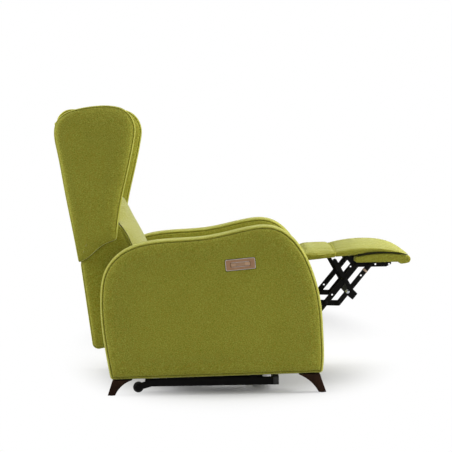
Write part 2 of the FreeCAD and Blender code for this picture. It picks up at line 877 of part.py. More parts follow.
def outer_back_panel():
    reach = wing_inner_y - back_panel_margin / 2
    x0 = back_upper_rear_u - back_panel_thickness
    low = back_mid_w + back_panel_margin
    high = back_top_w - back_panel_margin
    wire = rounded_wire([V(0, -reach, low), V(0, reach, low), V(0, reach, high), V(0, -reach, high)],
                        back_panel_margin)
    wire.translate(V(x0, 0, 0))
    panel = Part.Face(wire).extrude(V(back_panel_thickness, 0, 0))
    rim = [edge for edge in panel.Edges if edge.BoundBox.XMax < x0 + fit_gap]
    return panel.makeFillet(back_panel_thickness / 2, rim)


def back_cushion(shares, low, height, half, depth, crown, bulge):
    """A cushion against the back's front face, drawn flat and then stood up."""
    wires = []
    for place, width, front, dome in shares:
        edge = front * depth
        top = edge + dome * crown
        wires.append(cushion_section(place * height, width * half - bulge, 0, edge, top, bulge))
    body = loft(wires)
    body.rotate(V(0, 0, 0), V(1, 0, 1), 180)
    body.translate(V(back_front_u + fit_gap, 0, low))
    return body


def lumbar_cushion(wings):
    """The lower back cushion, broad below and let in between the wings above."""
    body = back_cushion(lumbar_section_shares, lumbar_low_w, lumbar_height, back_half_width - fit_gap,
                        lumbar_depth, lumbar_crown, lumbar_bulge)
    return body.cut(wings[0].fuse(wings[1]))


def back_arm(side):
    """The steel strap from the back's pivot to a flange screwed on the back."""
    outer = plate_inner_y - back_arm_side_gap
    inner = outer - back_arm_thickness
    strap_end = V(back_low_front_u + back_arm_height / 2, 0, 0)
    strap = side_slab(bar_wire(V(0, 0, 0), strap_end, back_arm_height), inner, outer, side)
    boss = side_rod(V(0, 0, 0), back_arm_radius, inner, outer, side)
    web_points = corners((back_low_front_u, back_flange_bottom_w), (strap_end.x, 0),
                         (strap_end.x, back_flange_top_w / 2), (back_low_front_u, back_flange_top_w))
    web = side_slab(Part.makePolygon(web_points + [web_points[0]]), inner, outer, side)
    flange = side_block(back_low_front_u, back_low_front_u + back_arm_thickness, outer - back_flange_width,
                        outer, back_flange_bottom_w, back_flange_top_w, side)
    body = strap.fuse([boss, web, flange])
    body = body.cut(side_rod(V(0, 0, 0), pivot_radius + pivot_gap, inner - overrun, outer + overrun, side))
    return body.removeSplitter()


def back_pivot_bolt(side):
    inner = plate_inner_y - back_arm_side_gap - back_arm_thickness
    return pinned(back_pivot, inner - layer_gap, plate_inner_y + plate_thickness, side,
                  pivot_radius, pivot_head_radius, pivot_head)


def upright_point(point):
    """Where a point of the standing chair lies in the back's upright drawing."""
    turn = math.radians(back_lean_angle)
    dx, dz = point.x - back_pivot_x, point.z - back_pivot_z
    return V(dx * math.cos(turn) + dz * math.sin(turn), 0, dz * math.cos(turn) - dx * math.sin(turn))


def back_lever():
    """The plate that the back's actuator pulls, on a foot screwed to the back."""
    pin = upright_point(back_lever_pin)
    half = lever_thickness / 2
    root = pin.z + lever_radius * 2
    points = corners((back_low_front_u, pin.z - 2 * lever_radius), (pin.x, pin.z - lever_radius),
                     (pin.x, pin.z + lever_radius), (back_low_front_u, root))
    plate = slab(Part.makePolygon(points + [points[0]]), actuator_y - half, actuator_y + half)
    nose = rod_y(pin, lever_radius, actuator_y - half, actuator_y + half)
    foot = block(back_low_front_u, back_low_front_u + back_arm_thickness, actuator_y - back_flange_width / 2,
                 actuator_y + back_flange_width / 2, pin.z - 2 * lever_radius, root)
    stub = rod_y(pin, lever_pin_radius, actuator_y - half - clevis_gap - clevis_cheek,
                 actuator_y + half + clevis_gap + clevis_cheek)
    return plate.fuse([nose, foot, stub]).removeSplitter()


# Footrest linkage

def drilled(body, points, radius, side):
    for point in points:
        body = body.cut(side_rod(point, radius, linkage_inner_y - overrun, prop_y + overrun, side))
    return body


def crank_arm(side):
    outer = linkage_inner_y + bar_thickness
    arm = side_slab(bar_wire(crank_pivot, link_two_foot, crank_depth), linkage_inner_y, outer, side)
    boss = side_rod(crank_pivot, crank_boss_radius, linkage_inner_y, outer, side)
    arm = arm.fuse(boss)
    arm = drilled(arm, [crank_pivot], torque_tube_radius, side)
    return drilled(arm, [link_one_foot, link_two_foot], pin_radius, side).removeSplitter()


def foot_lever_angle():
    return -90 + crank_swing_angle / 2


def torque_tube():
    """The cross tube that turns the cranks, with the lever welded on it."""
    reach = plate_inner_y + plate_thickness + 2 * bush_flange
    shaft = rod_y(crank_pivot, torque_tube_radius, -reach, reach)
    shaft = shaft.cut(rod_y(crank_pivot, torque_tube_radius - torque_tube_wall, -half_width, half_width))
    half = lever_thickness / 2
    y0, y1 = -actuator_y - half, -actuator_y + half
    tip = on_ray(crank_pivot, foot_lever_angle(), foot_lever_length)
    lever = slab(bar_wire(crank_pivot, tip, 2 * lever_radius), y0, y1)
    collar = rod_y(crank_pivot, crank_boss_radius, y0, y1)
    lever = lever.fuse(collar).cut(rod_y(crank_pivot, torque_tube_radius, -half_width, half_width))
    stub = rod_y(tip, lever_pin_radius, y0 - clevis_gap - clevis_cheek, y1 + clevis_gap + clevis_cheek)
    return shaft.fuse([lever, stub]).removeSplitter()


def link_one(side):
    tail = on_ray(link_one_foot, link_rise_angle, -link_tail)
    bar = side_slab(bar_wire(tail, link_one_top, link_width), link_y, link_y + bar_thickness, side)
    holes = [on_ray(link_one_foot, link_rise_angle, link_length * near_hole_share)]
    bar = drilled(bar, holes, rivet_hole_radius, side)
    bar = drilled(bar, [prop_pivot], pin_radius, side)
    return drilled(bar, [link_one_foot, link_one_top], pin_radius + pin_gap, side)


def link_two(side):
    wire = bar_wire(link_two_foot, link_two_top, link_two_width)
    bar = side_slab(wire, link_y, link_y + bar_thickness, side)
    hole = on_ray(link_two_foot, link_rise_angle, link_length * far_hole_share)
    bar = drilled(bar, [hole], rivet_hole_radius, side)
    return drilled(bar, [link_two_foot, link_two_top], pin_radius + pin_gap, side)


def prop(side):
    """The short crossing bar that props the flap of the leg pad."""
    top = on_ray(prop_pivot, prop_angle, prop_upper)
    foot = on_ray(prop_pivot, prop_angle, -prop_lower)
    bar = side_slab(bar_wire(foot, top, prop_width), prop_y, prop_y + bar_thickness, side)
    return drilled(bar, [prop_pivot], pin_radius + pin_gap, side)


def tie_bar_centre():
    return on_ray(on_ray(link_two_foot, link_rise_angle, tie_bar_along), link_rise_angle - 90, tie_bar_side)


def tie_bar():
    """Box tube that joins the two second links under the footrest, with a lug to each."""
    centre = tie_bar_centre()
    long_half, wide_half = tie_bar_section[1] / 2, tie_bar_section[0] / 2
    reach = linkage_inner_y - tie_plug_length / 2

    def rectangle(cut):
        u = on_ray(V(0, 0, 0), link_rise_angle, long_half - cut)
        w = on_ray(V(0, 0, 0), link_rise_angle - 90, wide_half - cut)
        ring = [centre - u - w, centre + u - w, centre + u + w, centre - u + w]
        return Part.makePolygon(ring + ring[:1])
    return slab(rectangle(0), -reach, reach).cut(slab(rectangle(tie_bar_wall), -half_width, half_width))


def tie_plug(side):
    """Moulded end block of the tie bar, with a lug reaching to the second link."""
    centre = tie_bar_centre()
    long_half, wide_half = tie_bar_section[1] / 2, tie_bar_section[0] / 2
    u = on_ray(V(0, 0, 0), link_rise_angle, long_half)
    w = on_ray(V(0, 0, 0), link_rise_angle - 90, wide_half)
    wire = rounded_wire([centre - u - w, centre + u - w, centre + u + w, centre - u + w], tie_bar_wall)
    inner = linkage_inner_y - tie_plug_length / 2
    return side_slab(wire, inner, link_y, side)


def crank_pins():
    made = []
    for side in (RIGHT, LEFT):
        for point in (link_one_foot, link_two_foot):
            made.append(pinned(point, linkage_inner_y, link_y + bar_thickness, side))
    return group(made)


def prop_pins(side):
    return pinned(prop_pivot, link_y, prop_y + bar_thickness, side)


def bracket_pins():
    made = []
    for side in (RIGHT, LEFT):
        for point in (link_one_top, link_two_top):
            made.append(pinned(point, linkage_inner_y, link_y + bar_thickness, side))
    return group(made)


# Footrest

def foot_bracket(side):
    """Angle bracket under the board, its rear end rising to the flap."""
    top = board_bottom_z
    low = top - bracket_depth
    rear = link_one_top.x - link_width / 2
    front = link_one_top.x + bracket_front
    rise_x = rear - bracket_rise_width
    outer = linkage_inner_y + bar_thickness
    board_x = board_rear_x - layer_gap
    points = corners((rear, low), (front - bracket_depth, low), (front, low + bracket_depth / 2),
                     (front, top), (board_x, top), (board_x, pad_low_z(board_x) - layer_gap),
                     (rise_x, pad_low_z(rise_x) - 2 * layer_gap))
    plate = side_slab(Part.makePolygon(points + [points[0]]), linkage_inner_y, outer, side)
    flange = side_block(board_rear_x + board_end_round, front, linkage_inner_y - bracket_flange, outer,
                        top - bar_thickness, top, side)
    body = drilled(plate.fuse(flange), [link_one_top, link_two_top], pin_radius, side)
    for share in bracket_hole_shares:
        spot = V(link_one_top.x + share * bracket_front, 0, low + bracket_depth / 2)
        body = drilled(body, [spot], rivet_hole_radius, side)
    return body.removeSplitter()


def board_wire(cut):
    """Side view of the covered board: crowned top, round rear end, hooked front lip."""
    x0, x1 = board_rear_x + cut, board_rear_x + board_length - cut
    low, high = board_bottom_z + cut, board_bottom_z + board_thickness - cut
    turn = board_end_round
    lip = x1 - board_lip_length
    hook = V(lip + turn, 0, low - board_lip_drop)
    rear_low, rear_high = V(x0 + turn, 0, low), V(x0 + turn, 0, high)
    front_low, front_high = V(x1 - turn, 0, low - board_lip_drop / 2), V(x1 - turn, 0, high)
    return Part.Wire([
        Part.LineSegment(rear_low, V(lip, 0, low)).toShape(),
        Part.LineSegment(V(lip, 0, low), hook).toShape(),
        Part.LineSegment(hook, front_low).toShape(),
        Part.Arc(front_low, V(x1, 0, (low + high) / 2), front_high).toShape(),
        Part.Arc(front_high, V((x0 + x1) / 2, 0, high + board_crown), rear_high).toShape(),
        Part.Arc(rear_high, V(x0, 0, (low + high) / 2), rear_low).toShape()])


def core_bounds(clearance):
    middle = board_bottom_z + board_thickness / 2
    half = core_thickness / 2 - clearance
    reach = board_half_width - core_side_margin - clearance
    x0 = board_rear_x + core_end_margin + clearance
    x1 = board_rear_x + board_length - core_end_margin - clearance
    return x0, x1, -reach, reach, middle - half, middle + half


def footrest_wrap():
    body = slab(board_wire(0), -board_half_width, board_half_width)
    return body.cut(block(*core_bounds(0)))


def footrest_core():
    return block(*core_bounds(fit_gap))


def pad_low_z(x):
    """Underside of the leg pad: level over the board, sloping down behind it towards the seat."""
    if x >= board_rear_x:
        return pad_underside_z
    share = (board_rear_x - x) / (board_rear_x - seat_front_x - flap_gap)
    return pad_underside_z - flap_drop * share


def pad_wire(x, shares, edge_base):
    low = pad_low_z(x)
    edge = edge_base + shares[2] * pad_edge_height
    width = shares[1] * pad_half_width - pad_side_bulge
    return cushion_section(x, width, low, edge, edge + shares[3] * pad_crown, pad_side_bulge)


def leg_pad():
    wires = []
    for shares in pad_section_shares:
        x = pad_seam_x + shares[0] * (pad_tip_x - pad_seam_x)
        wires.append(pad_wire(x, shares, pad_underside_z))
    body = loft(wires)
    over_board = slab(board_wire(-fit_gap), -half_width, half_width)
    return body.cut(over_board)


def flap_pad():
    rear = seat_front_x + flap_gap
    wires = []
    for shares in flap_section_shares:
        wires.append(pad_wire(rear + shares[0] * (pad_seam_x - rear), shares, pad_underside_z))
    wires.append(pad_wire(pad_seam_x, pad_section_shares[0], pad_underside_z))
    return loft(wires).cut(flap_core_space(0))


def flap_core_space(clearance):
    rear = seat_front_x + flap_gap + core_end_margin + clearance
    front = pad_seam_x - core_side_margin - clearance
    reach = pad_half_width - core_end_margin - clearance
    low = pad_underside_z + clearance
    return block(rear, front, -reach, reach, low, low + flap_core_thickness - 2 * clearance)


# Actuators

def actuator_body(pivot_x, rail_end_x, z, y, stroke):
    """Motor, gearbox and rail of one actuator; its eye is at pivot_x and its rod leaves at rail_end_x."""
    way = 1 if rail_end_x > pivot_x else -1
    x_box = pivot_x + way * mount_eye_radius * 2
    x_box_end = x_box + way * actuator_gearbox_length
    half_w = actuator_gearbox_width / 2
    half_h = actuator_gearbox_height / 2
    gearbox = block(min(x_box, x_box_end), max(x_box, x_box_end), y - half_w, y + half_w,
                    z - half_h, z + half_h)
    gearbox = gearbox.makeFillet(mount_plate_thickness, gearbox.Edges)
    rail = block(min(x_box_end, rail_end_x), max(x_box_end, rail_end_x), y - actuator_rail_width / 2,
                 y + actuator_rail_width / 2, z - actuator_rail_height / 2, z + actuator_rail_height / 2)
    motor_top = V((x_box + x_box_end) / 2, y, z - half_h)
    motor = Part.makeCylinder(motor_radius, motor_length, motor_top, V(0, 0, -1))
    tongue = block(min(pivot_x, x_box + way), max(pivot_x, x_box + way), y - lever_thickness,
                   y + lever_thickness, z - mount_eye_radius, z + mount_eye_radius)
    eye = rod_y(V(pivot_x, 0, z), mount_eye_radius, y - lever_thickness, y + lever_thickness)
    body = gearbox.fuse([rail, motor, tongue, eye])
    body = body.cut(rod_y(V(pivot_x, 0, z), mount_pin_radius + pin_gap, y - half_w, y + half_w))
    bore_x = rail_end_x - way * (rod_hidden + stroke + rod_radius)
    bore = Part.makeCylinder(rod_radius + rod_bore_gap, rod_hidden + stroke + 2 * rod_radius,
                             V(bore_x, y, z), V(way, 0, 0))
    return body.cut(bore).removeSplitter()


def actuator_rod(pin, z, rail_end_x, y, sagitta, play):
    """Inner tube and slotted fork; the slot takes the arc that the lever's pin runs through."""
    way = 1 if pin.x > rail_end_x else -1
    start = rail_end_x - way * rod_hidden
    fork_x = pin.x - way * clevis_length
    rod = Part.makeCylinder(rod_radius, abs(fork_x - start) + clevis_cheek, V(start, y, z), V(way, 0, 0))
    half = lever_thickness / 2 + clevis_gap + clevis_cheek
    front = pin.x + way * (lever_pin_radius + clevis_cheek)
    high = clevis_half_height
    head = block(min(fork_x, front), max(fork_x, front), y - half, y + half, z - high, z + high)
    gap = lever_thickness / 2 + clevis_gap
    throat = fork_x + way * clevis_cheek * 2
    head = head.cut(block(min(throat, front + way), max(throat, front + way), y - gap, y + gap,
                          z - high - overrun, z + high + overrun))
    width = 2 * (lever_pin_radius + play)
    slot_wire = bar_wire(V(pin.x, 0, z - sagitta / 2), V(pin.x, 0, z + sagitta / 2), width)
    slot = slab(slot_wire, y - half_width, y + half_width)
    return rod.fuse(head).cut(slot).removeSplitter()


def arc_rise(length, swing):
    return length * (1 - math.cos(math.radians(swing / 2)))


def arc_chord(length, swing):
    return 2 * length * math.sin(math.radians(swing / 2))


def actuator_mount(x, z, y):
    """Two upright ears on a cross tube and the pin through them."""
    made = []
    half = lever_thickness + mount_side_gap
    top = V(x, 0, z)
    foot_z = mech_tube_z + mech_tube / 2
    for way in (-1, 1):
        y0 = y + half if way > 0 else y - half - mount_plate_thickness
        ear = block(x - mech_tube / 2, x + mech_tube / 2, y0, y0 + mount_plate_thickness, foot_z, z)
        ear = ear.fuse(rod_y(top, mech_tube / 2, y0, y0 + mount_plate_thickness))
        eye = rod_y(top, mount_pin_radius + pin_gap, y0 - overrun, y0 + overrun)
        made.append(ear.cut(eye).removeSplitter())
    outer = half + mount_plate_thickness
    stem = rod_y(top, mount_pin_radius, y - outer, y + outer)
    heads = [rod_y(top, mount_pin_radius + pin_head, y - outer - pin_head, y - outer),
             rod_y(top, mount_pin_radius + pin_head, y + outer, y + outer + pin_head)]
    made.append(stem.fuse(heads).removeSplitter())
    return made


def control_box():
    y0 = -plate_inner_y + fit_gap
    body = block(control_box_x, control_box_x + control_box_length, y0, y0 + control_box_depth,
                 control_box_z, control_box_z + control_box_height)
    return body.makeFillet(control_box_round, body.Edges)


# Every node

os.makedirs("parts", exist_ok=True)

for name, side in (("right", RIGHT), ("left", LEFT)):
    save("arm_cover_" + name, arm_cover(side))
    save("transport_wheel_" + name, wheel(side))
    save("side_plate_" + name, side_plate(side))
    save("crank_arm_" + name, crank_arm(side))
    save("link_one_" + name, link_one(side))
    save("link_two_" + name, link_two(side))
    save("foot_bracket_" + name, foot_bracket(side))
    save("wing_" + name, lean(wing(side)))

save("arm_frames", both(arm_frame))
save("front_legs", both(front_leg))
save("rear_legs", both(rear_leg))
save("leg_glides", glides())
save("base_rails", both(base_rail))
save("base_cross_tubes", base_cross_tubes())
save("tube_end_caps", both(end_caps))
save("wheel_forks", group([both(wheel_fork), both(wheel_axle)]))
save("arm_brackets", both(arm_brackets))
save("mech_cross_tubes", mech_cross_tubes())
save("torque_bushes", both(torque_bush))
save("seat_frame", seat_frame())
save("seat_webbing", seat_webbing())
save("seat_cushion", seat_cushion())
save("control_plate", control_plate())
save("switch_housing", switch_housing())
save("button_recline", button(RIGHT))
save("button_footrest", button(LEFT))
save("control_box", control_box())

save("back_shell", lean(back_shell([wing(RIGHT), wing(LEFT)])))
save("back_frame", lean(back_frame()))
save("back_webbing", lean(back_webbing()))
save("outer_back_panel", lean(outer_back_panel()))
save("lumbar_cushion", lean(lumbar_cushion([wing(RIGHT), wing(LEFT)])))
save("head_cushion", lean(back_cushion(head_section_shares, head_low_w, head_height,
                                       wing_inner_y - seat_side_gap, head_depth, head_crown, head_bulge)))
save("back_pivot_bolts", both(back_pivot_bolt))
save("back_arms", lean(both(back_arm)))
save("back_lever", lean(back_lever()))

save("torque_tube", torque_tube())
save("crank_pins", crank_pins())
save("prop_pins", both(prop_pins))
save("bracket_pins", bracket_pins())
save("flap_props", both(prop))
save("tie_bar", group([tie_bar(), both(tie_plug)]))
save("footrest_wrap", footrest_wrap())
save("footrest_board", footrest_core())
save("leg_pad", leg_pad())
save("flap_pad", flap_pad())
save("flap_board", flap_core_space(fit_gap))

foot_pin = on_ray(crank_pivot, foot_lever_angle(), foot_lever_length)
save("foot_actuator", actuator_body(mech_tube_rear_x, foot_rail_front_x, foot_actuator_z, -actuator_y,
                                    arc_chord(foot_lever_length, crank_swing_angle)))
save("foot_actuator_rod", actuator_rod(foot_pin, foot_actuator_z, foot_rail_front_x, -actuator_y,
                                       arc_rise(foot_lever_length, crank_swing_angle), foot_slot_play))
save("back_actuator", actuator_body(mech_tube_front_x, back_rail_rear_x, back_actuator_z, actuator_y,
                                    arc_chord(back_lever_length, back_swing_angle)))
save("back_actuator_rod", actuator_rod(back_lever_pin, back_actuator_z, back_rail_rear_x, actuator_y,
                                       arc_rise(back_lever_length, back_swing_angle), back_slot_play))
save("actuator_mounts", group(actuator_mount(mech_tube_rear_x, foot_actuator_z, -actuator_y)
                              + actuator_mount(mech_tube_front_x, back_actuator_z, actuator_y)))
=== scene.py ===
import json
import math

import bmesh
import bpy
import numpy as np
from mathutils import Matrix, Vector
from mathutils.bvhtree import BVHTree


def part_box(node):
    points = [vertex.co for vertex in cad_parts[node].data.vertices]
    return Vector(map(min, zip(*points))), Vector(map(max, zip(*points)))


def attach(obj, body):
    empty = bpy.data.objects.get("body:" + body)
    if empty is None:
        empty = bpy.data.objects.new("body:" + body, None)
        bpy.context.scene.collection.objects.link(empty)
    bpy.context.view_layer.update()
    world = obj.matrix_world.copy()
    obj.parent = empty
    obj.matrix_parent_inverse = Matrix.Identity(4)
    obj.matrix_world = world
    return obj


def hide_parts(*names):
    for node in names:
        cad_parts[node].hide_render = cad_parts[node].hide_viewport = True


# Wing-back power recliner with its footrest raised. Metres; X forward, Y to the sitter's left, Z up.

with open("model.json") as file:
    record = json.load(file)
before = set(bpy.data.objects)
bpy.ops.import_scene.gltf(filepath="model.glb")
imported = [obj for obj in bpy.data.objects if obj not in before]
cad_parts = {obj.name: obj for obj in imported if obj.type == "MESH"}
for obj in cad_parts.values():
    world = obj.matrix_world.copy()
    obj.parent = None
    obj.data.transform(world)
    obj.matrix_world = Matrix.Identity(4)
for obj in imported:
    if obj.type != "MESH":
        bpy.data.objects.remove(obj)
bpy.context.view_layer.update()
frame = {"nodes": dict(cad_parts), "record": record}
NODES, RECORD = frame["nodes"], frame["record"]
BODY_OF = {node: body for body, members in RECORD["behaviour"]["bodies"].items() for node in members}
SLOT_OF = {part["node"]: part["material_slot"] for part in RECORD["subparts"]}
HANDS = RIGHT, LEFT = -1, 1
SIDES = (("right", RIGHT), ("left", LEFT))

# The back leans about its pivot
BACK_PIVOT = np.array((-0.330, 0.0, 0.400))
BACK_LEAN = math.radians(10.2)

# Arm outline: shares of the length and height, up the rear edge, over the crest, down the front
ARM_REAR_X, ARM_LENGTH, ARM_HEIGHT = -0.521, 0.862, 0.652
ARM_OUTER, ARM_INNER, ARM_SEAM_IN = 0.380, 0.260, 0.0086
ARM_SHARES = ((0.041, 0.091), (0.0175, 0.276), (0.002, 0.598), (0.026, 0.748), (0.108, 0.863),
              (0.256, 0.920), (0.488, 0.941), (0.686, 0.993), (0.741, 1.0), (0.797, 0.989), (0.886, 0.904),
              (0.953, 0.744), (0.993, 0.537), (1.003, 0.33), (1.004, 0.20), (0.998, 0.113))

# Wing outline in the upright back: shares of its depth and height
WING_REAR, WING_DEPTH, WING_LOW, WING_HEIGHT = -0.248, 0.314, 0.157, 0.593
WING_OUTER, WING_INNER = 0.272, 0.210
WING_SHARES = ((-0.020, 0.0), (-0.017, 0.15), (-0.017, 0.50), (-0.012, 0.75), (0.0, 0.88), (0.058, 0.946),
               (0.136, 0.977), (0.204, 0.990), (0.275, 0.9965), (0.385, 1.0), (0.51, 0.998), (0.77, 0.975),
               (0.905, 0.940), (0.99, 0.874), (1.005, 0.80), (0.967, 0.73), (0.787, 0.503), (0.599, 0.266),
               (0.506, 0.102))
WING_UNDER_SHARES = ((0.381, 0.092), (0.245, 0.064), (0.115, 0.022))

# Lower back in the upright frame, and the box between the wings
BACK_FRONT, BACK_STEP_FRONT, BACK_REAR, BACK_UPPER_REAR = -0.090, -0.140, -0.267, -0.238
BACK_BOTTOM, BACK_STEP, BACK_MID, BACK_TOP = -0.197, 0.042, 0.157, 0.735
BACK_HALF = 0.250
BOX_EDGE = np.array(((-0.052, 0.042), (-0.036, 0.110), (-0.036, 0.185), (-0.045, 0.223), (-0.058, 0.257),
                     (-0.070, 0.276), (-0.080, 0.300)))

# Seat, lumbar and head cushions. A section is its share along the cushion, of its width and of its depth
SEAT_REAR, SEAT_FRONT, SEAT_BASE, SEAT_SIDE, SEAT_HALF = -0.318, 0.262, 0.4268, 0.088, 0.256
SEAT_SECTIONS = ((0.0, 0.965, 0.62), (0.10, 0.985, 0.76), (0.30, 1.0, 0.86), (0.55, 1.0, 0.92),
                 (0.80, 1.0, 0.98), (0.94, 0.985, 0.98), (1.0, 0.965, 0.86))
LUMBAR_LOW, LUMBAR_HIGH = 0.056, 0.386
LUMBAR_FRONT = ((0.050, -0.002), (0.080, 0.009), (0.130, 0.013), (0.178, 0.0075), (0.221, -0.0055),
                (0.261, -0.0175), (0.296, -0.0285), (0.336, -0.0395), (0.363, -0.0485), (0.376, -0.058),
                (0.390, -0.080))
LUMBAR_HALF = ((0.050, 0.238), (0.075, 0.247), (0.20, 0.249), (0.262, 0.246), (0.285, 0.215), (0.30, 0.206),
               (0.39, 0.200))
HEAD_LOW, HEAD_HEIGHT, HEAD_DEPTH, HEAD_HALF, HEAD_ROLL = 0.377, 0.352, 0.066, 0.206, 0.014
HEAD_SECTIONS = ((0.0, 0.97, 0.30), (0.12, 1.0, 0.62), (0.45, 1.0, 0.66), (0.80, 1.0, 0.62),
                 (0.95, 0.985, 0.46), (1.0, 0.96, 0.28))

# Camera, from the picture's perspective
PICTURE = 452
CAMERA_PLACE = (-0.062, -5.95, 0.943)
FOCAL_PIXELS = 1455.0
VANISHING = (216.0, 150.0)
CAMERA_ROLL = math.radians(0.93)

# Floor and light
FLOOR_FAR, FLOOR_TONE, FLOOR_NEAR = 60.0, 0.56, 0.66
FLOOR_REACH, FLOOR_MIDDLE = (0.84, 2.06), (0.0, 1.2)
ROOM_LIGHT = 0.42
WHITE = (1, 1, 1, 1)
# Name, place, aim, size and power of each soft box
LAMPS = (("overhead_box", (0.1, 0.6, 3.2), (0.0, 0.1, 0.4), (3.4, 3.0), 75.0),
         ("front_box", (3.3, -0.05, 1.5), (-0.2, 0.0, 0.6), (2.0, 2.2), 190.0),
         ("rear_box", (-3.4, -0.05, 1.6), (0.0, 0.0, 0.5), (1.6, 2.0), 130.0))

# Mesh detail: sides of cords and turned pieces, and the distance that merges points
CORD_SIDES, TURNED_SIDES, MERGE = 10, 24, 0.00002
# Rings of a casing's face: distances inside the seam, then shares of the way to its middle
FACE_STEPS = (0.0, 0.0008, 0.002, 0.004, 0.007, 0.011, 0.017, 0.026, 0.040)
HEART_SHARES = (1.0, 0.94, 0.80, 0.60, 0.40, 0.22, 0.09)
# A rectangle's corners, and the faces between two such rings
CORNERS = ((-1, -1), (1, -1), (1, 1), (-1, 1))
BAR_FACES = np.array(((0, 1, 2, 3), (4, 5, 6, 7), (0, 1, 5, 4), (1, 2, 6, 5), (2, 3, 7, 6), (3, 0, 4, 7)))


# Curves

def held(values):
    """Values held between 0 and 1."""
    return np.clip(values, 0, 1)


def turns(count):
    """Angles spread evenly round a circle."""
    return np.linspace(0, 2 * math.pi, count, endpoint=False)


def unit(ways):
    return ways / (np.linalg.norm(ways, axis=1)[:, None] + 1e-12)


def spline_through(points, count):
    """A natural cubic spline through the points, its pieces as long as the chords, sampled evenly."""
    points = np.asarray(points, float)
    chord = np.linalg.norm(np.diff(points, axis=0), axis=1)
    knots = np.concatenate(([0.0], np.cumsum(chord)))
    size = len(points)
    system, right = np.eye(size), np.zeros_like(points)
    slope = np.diff(points, axis=0) / chord[:, None]
    right[1:-1] = 6 * np.diff(slope, axis=0)
    for i in range(1, size - 1):
        system[i, i - 1:i + 2] = chord[i - 1], 2 * (chord[i - 1] + chord[i]), chord[i]
    second = np.linalg.solve(system, right)
    place = np.linspace(0, knots[-1], count)
    span = np.clip(np.searchsorted(knots, place, side="right") - 1, 0, size - 2)
    left = (place - knots[span])[:, None]
    rest = (knots[span + 1] - place)[:, None]
    width = chord[span][:, None]
    return (second[span] * rest ** 3 + second[span + 1] * left ** 3) / (6 * width) \
        + (points[span] / width - second[span] * width / 6) * rest \
        + (points[span + 1] / width - second[span + 1] * width / 6) * left


def even_path(points, count, closed=False):
    """The points of a path moved to even distances along it."""
    points = np.asarray(points, float)
    if closed:
        points = np.vstack((points, points[:1]))
    run = np.concatenate(([0.0], np.cumsum(np.linalg.norm(np.diff(points, axis=0), axis=1))))
    stops = np.linspace(0, run[-1], count + 1)[:-1] if closed else np.linspace(0, run[-1], count)
    return np.stack([np.interp(stops, run, points[:, k]) for k in range(points.shape[1])], axis=1)


def softened(loop, rounds):
    """A closed loop whose points move towards their neighbours' mean, round by round."""
    for _ in range(rounds):
        loop = loop * 0.5 + (np.roll(loop, 1, axis=0) + np.roll(loop, -1, axis=0)) * 0.25
    return loop


def smoothed_run(values, rounds):
    """A row of values or points smoothed likewise, its two ends held."""
    for _ in range(rounds):
        values[1:-1] = values[1:-1] * 0.5 + (values[:-2] + values[2:]) * 0.25
    return values


def inset_loops(loop, depths):
    """Closed loops drawn inwards from a flat loop. Points that would come nearer to the loop than the
    depth, as they do inside a sharp corner, are spread between their neighbours instead."""
    area = np.sum(loop[:, 0] * np.roll(loop[:, 1], -1) - np.roll(loop[:, 0], -1) * loop[:, 1])
    way = 1.0 if area > 0 else -1.0
    along = unit(np.roll(loop, -1, axis=0) - np.roll(loop, 1, axis=0))
    inward = way * np.stack((-along[:, 1], along[:, 0]), axis=1)
    number = np.arange(len(loop))
    made = []
    for depth in depths:
        moved = loop + inward * depth
        gap = np.linalg.norm(moved[:, None] - loop[None], axis=2).min(axis=1)
        kept = np.nonzero(gap > depth - 0.0006)[0]
        moved = np.stack([np.interp(number, kept, moved[kept, k], period=len(loop)) for k in (0, 1)], axis=1)
        made.append(softened(moved, 1))
    return made


def leaned(u, y, w):
    """World places of points drawn in the upright back: turned back about the pivot."""
    c, s = math.cos(BACK_LEAN), math.sin(BACK_LEAN)
    u, y, w = (np.asarray(v, float) for v in (u, y, w))
    return level(BACK_PIVOT[0] + u * c - w * s, y, BACK_PIVOT[2] + u * s + w * c)


def upright(points):
    """The places u and w in the upright back of world points."""
    c, s = math.cos(BACK_LEAN), math.sin(BACK_LEAN)
    x, z = points[:, 0] - BACK_PIVOT[0], points[:, 2] - BACK_PIVOT[2]
    return x * c + z * s, z * c - x * s


def level(x, y, z):
    """World places of points drawn as the chair stands."""
    return np.stack(np.broadcast_arrays(*(np.asarray(v, float) for v in (x, y, z))), axis=-1)


def sided(place, side):
    """The same way of placing points, on one side of the chair."""
    return lambda u, y, w: place(u, side * y, w)


# Meshes

def linked(name, data):
    made = bpy.data.objects.new(name, data)
    bpy.context.scene.collection.objects.link(made)
    return made


def shaded(made, smooth=True):
    made.data.polygons.foreach_set("use_smooth", np.full(len(made.data.polygons), smooth))
    return made


def given(thing, settings):
    for key, value in settings.items():
        setattr(thing, key, value)
    return thing


def modified(made, name, kind, **settings):
    return given(made.modifiers.new(name, kind), settings)


def worked(mesh, merge, *steps):
    """Merges a mesh's doubles and takes it through the steps."""
    shape = bmesh.new()
    shape.from_mesh(mesh)
    bmesh.ops.remove_doubles(shape, verts=shape.verts, dist=merge)
    for step in steps:
        step(shape)
    shape.to_mesh(mesh)
    shape.free()


def mesh_object(name, points, faces):
    mesh = bpy.data.meshes.new(name)
    mesh.from_pydata([tuple(p) for p in points], [], faces)
    mesh.update()
    return shaded(linked(name, mesh))


def closed_mesh(name, points, faces):
    """A mesh of the faces with doubles merged and every face turned outwards."""
    made = mesh_object(name, np.reshape(points, (-1, 3)), faces.tolist())
    worked(made.data, MERGE, lambda shape: bmesh.ops.recalc_face_normals(shape, faces=shape.faces))
    return shaded(made)


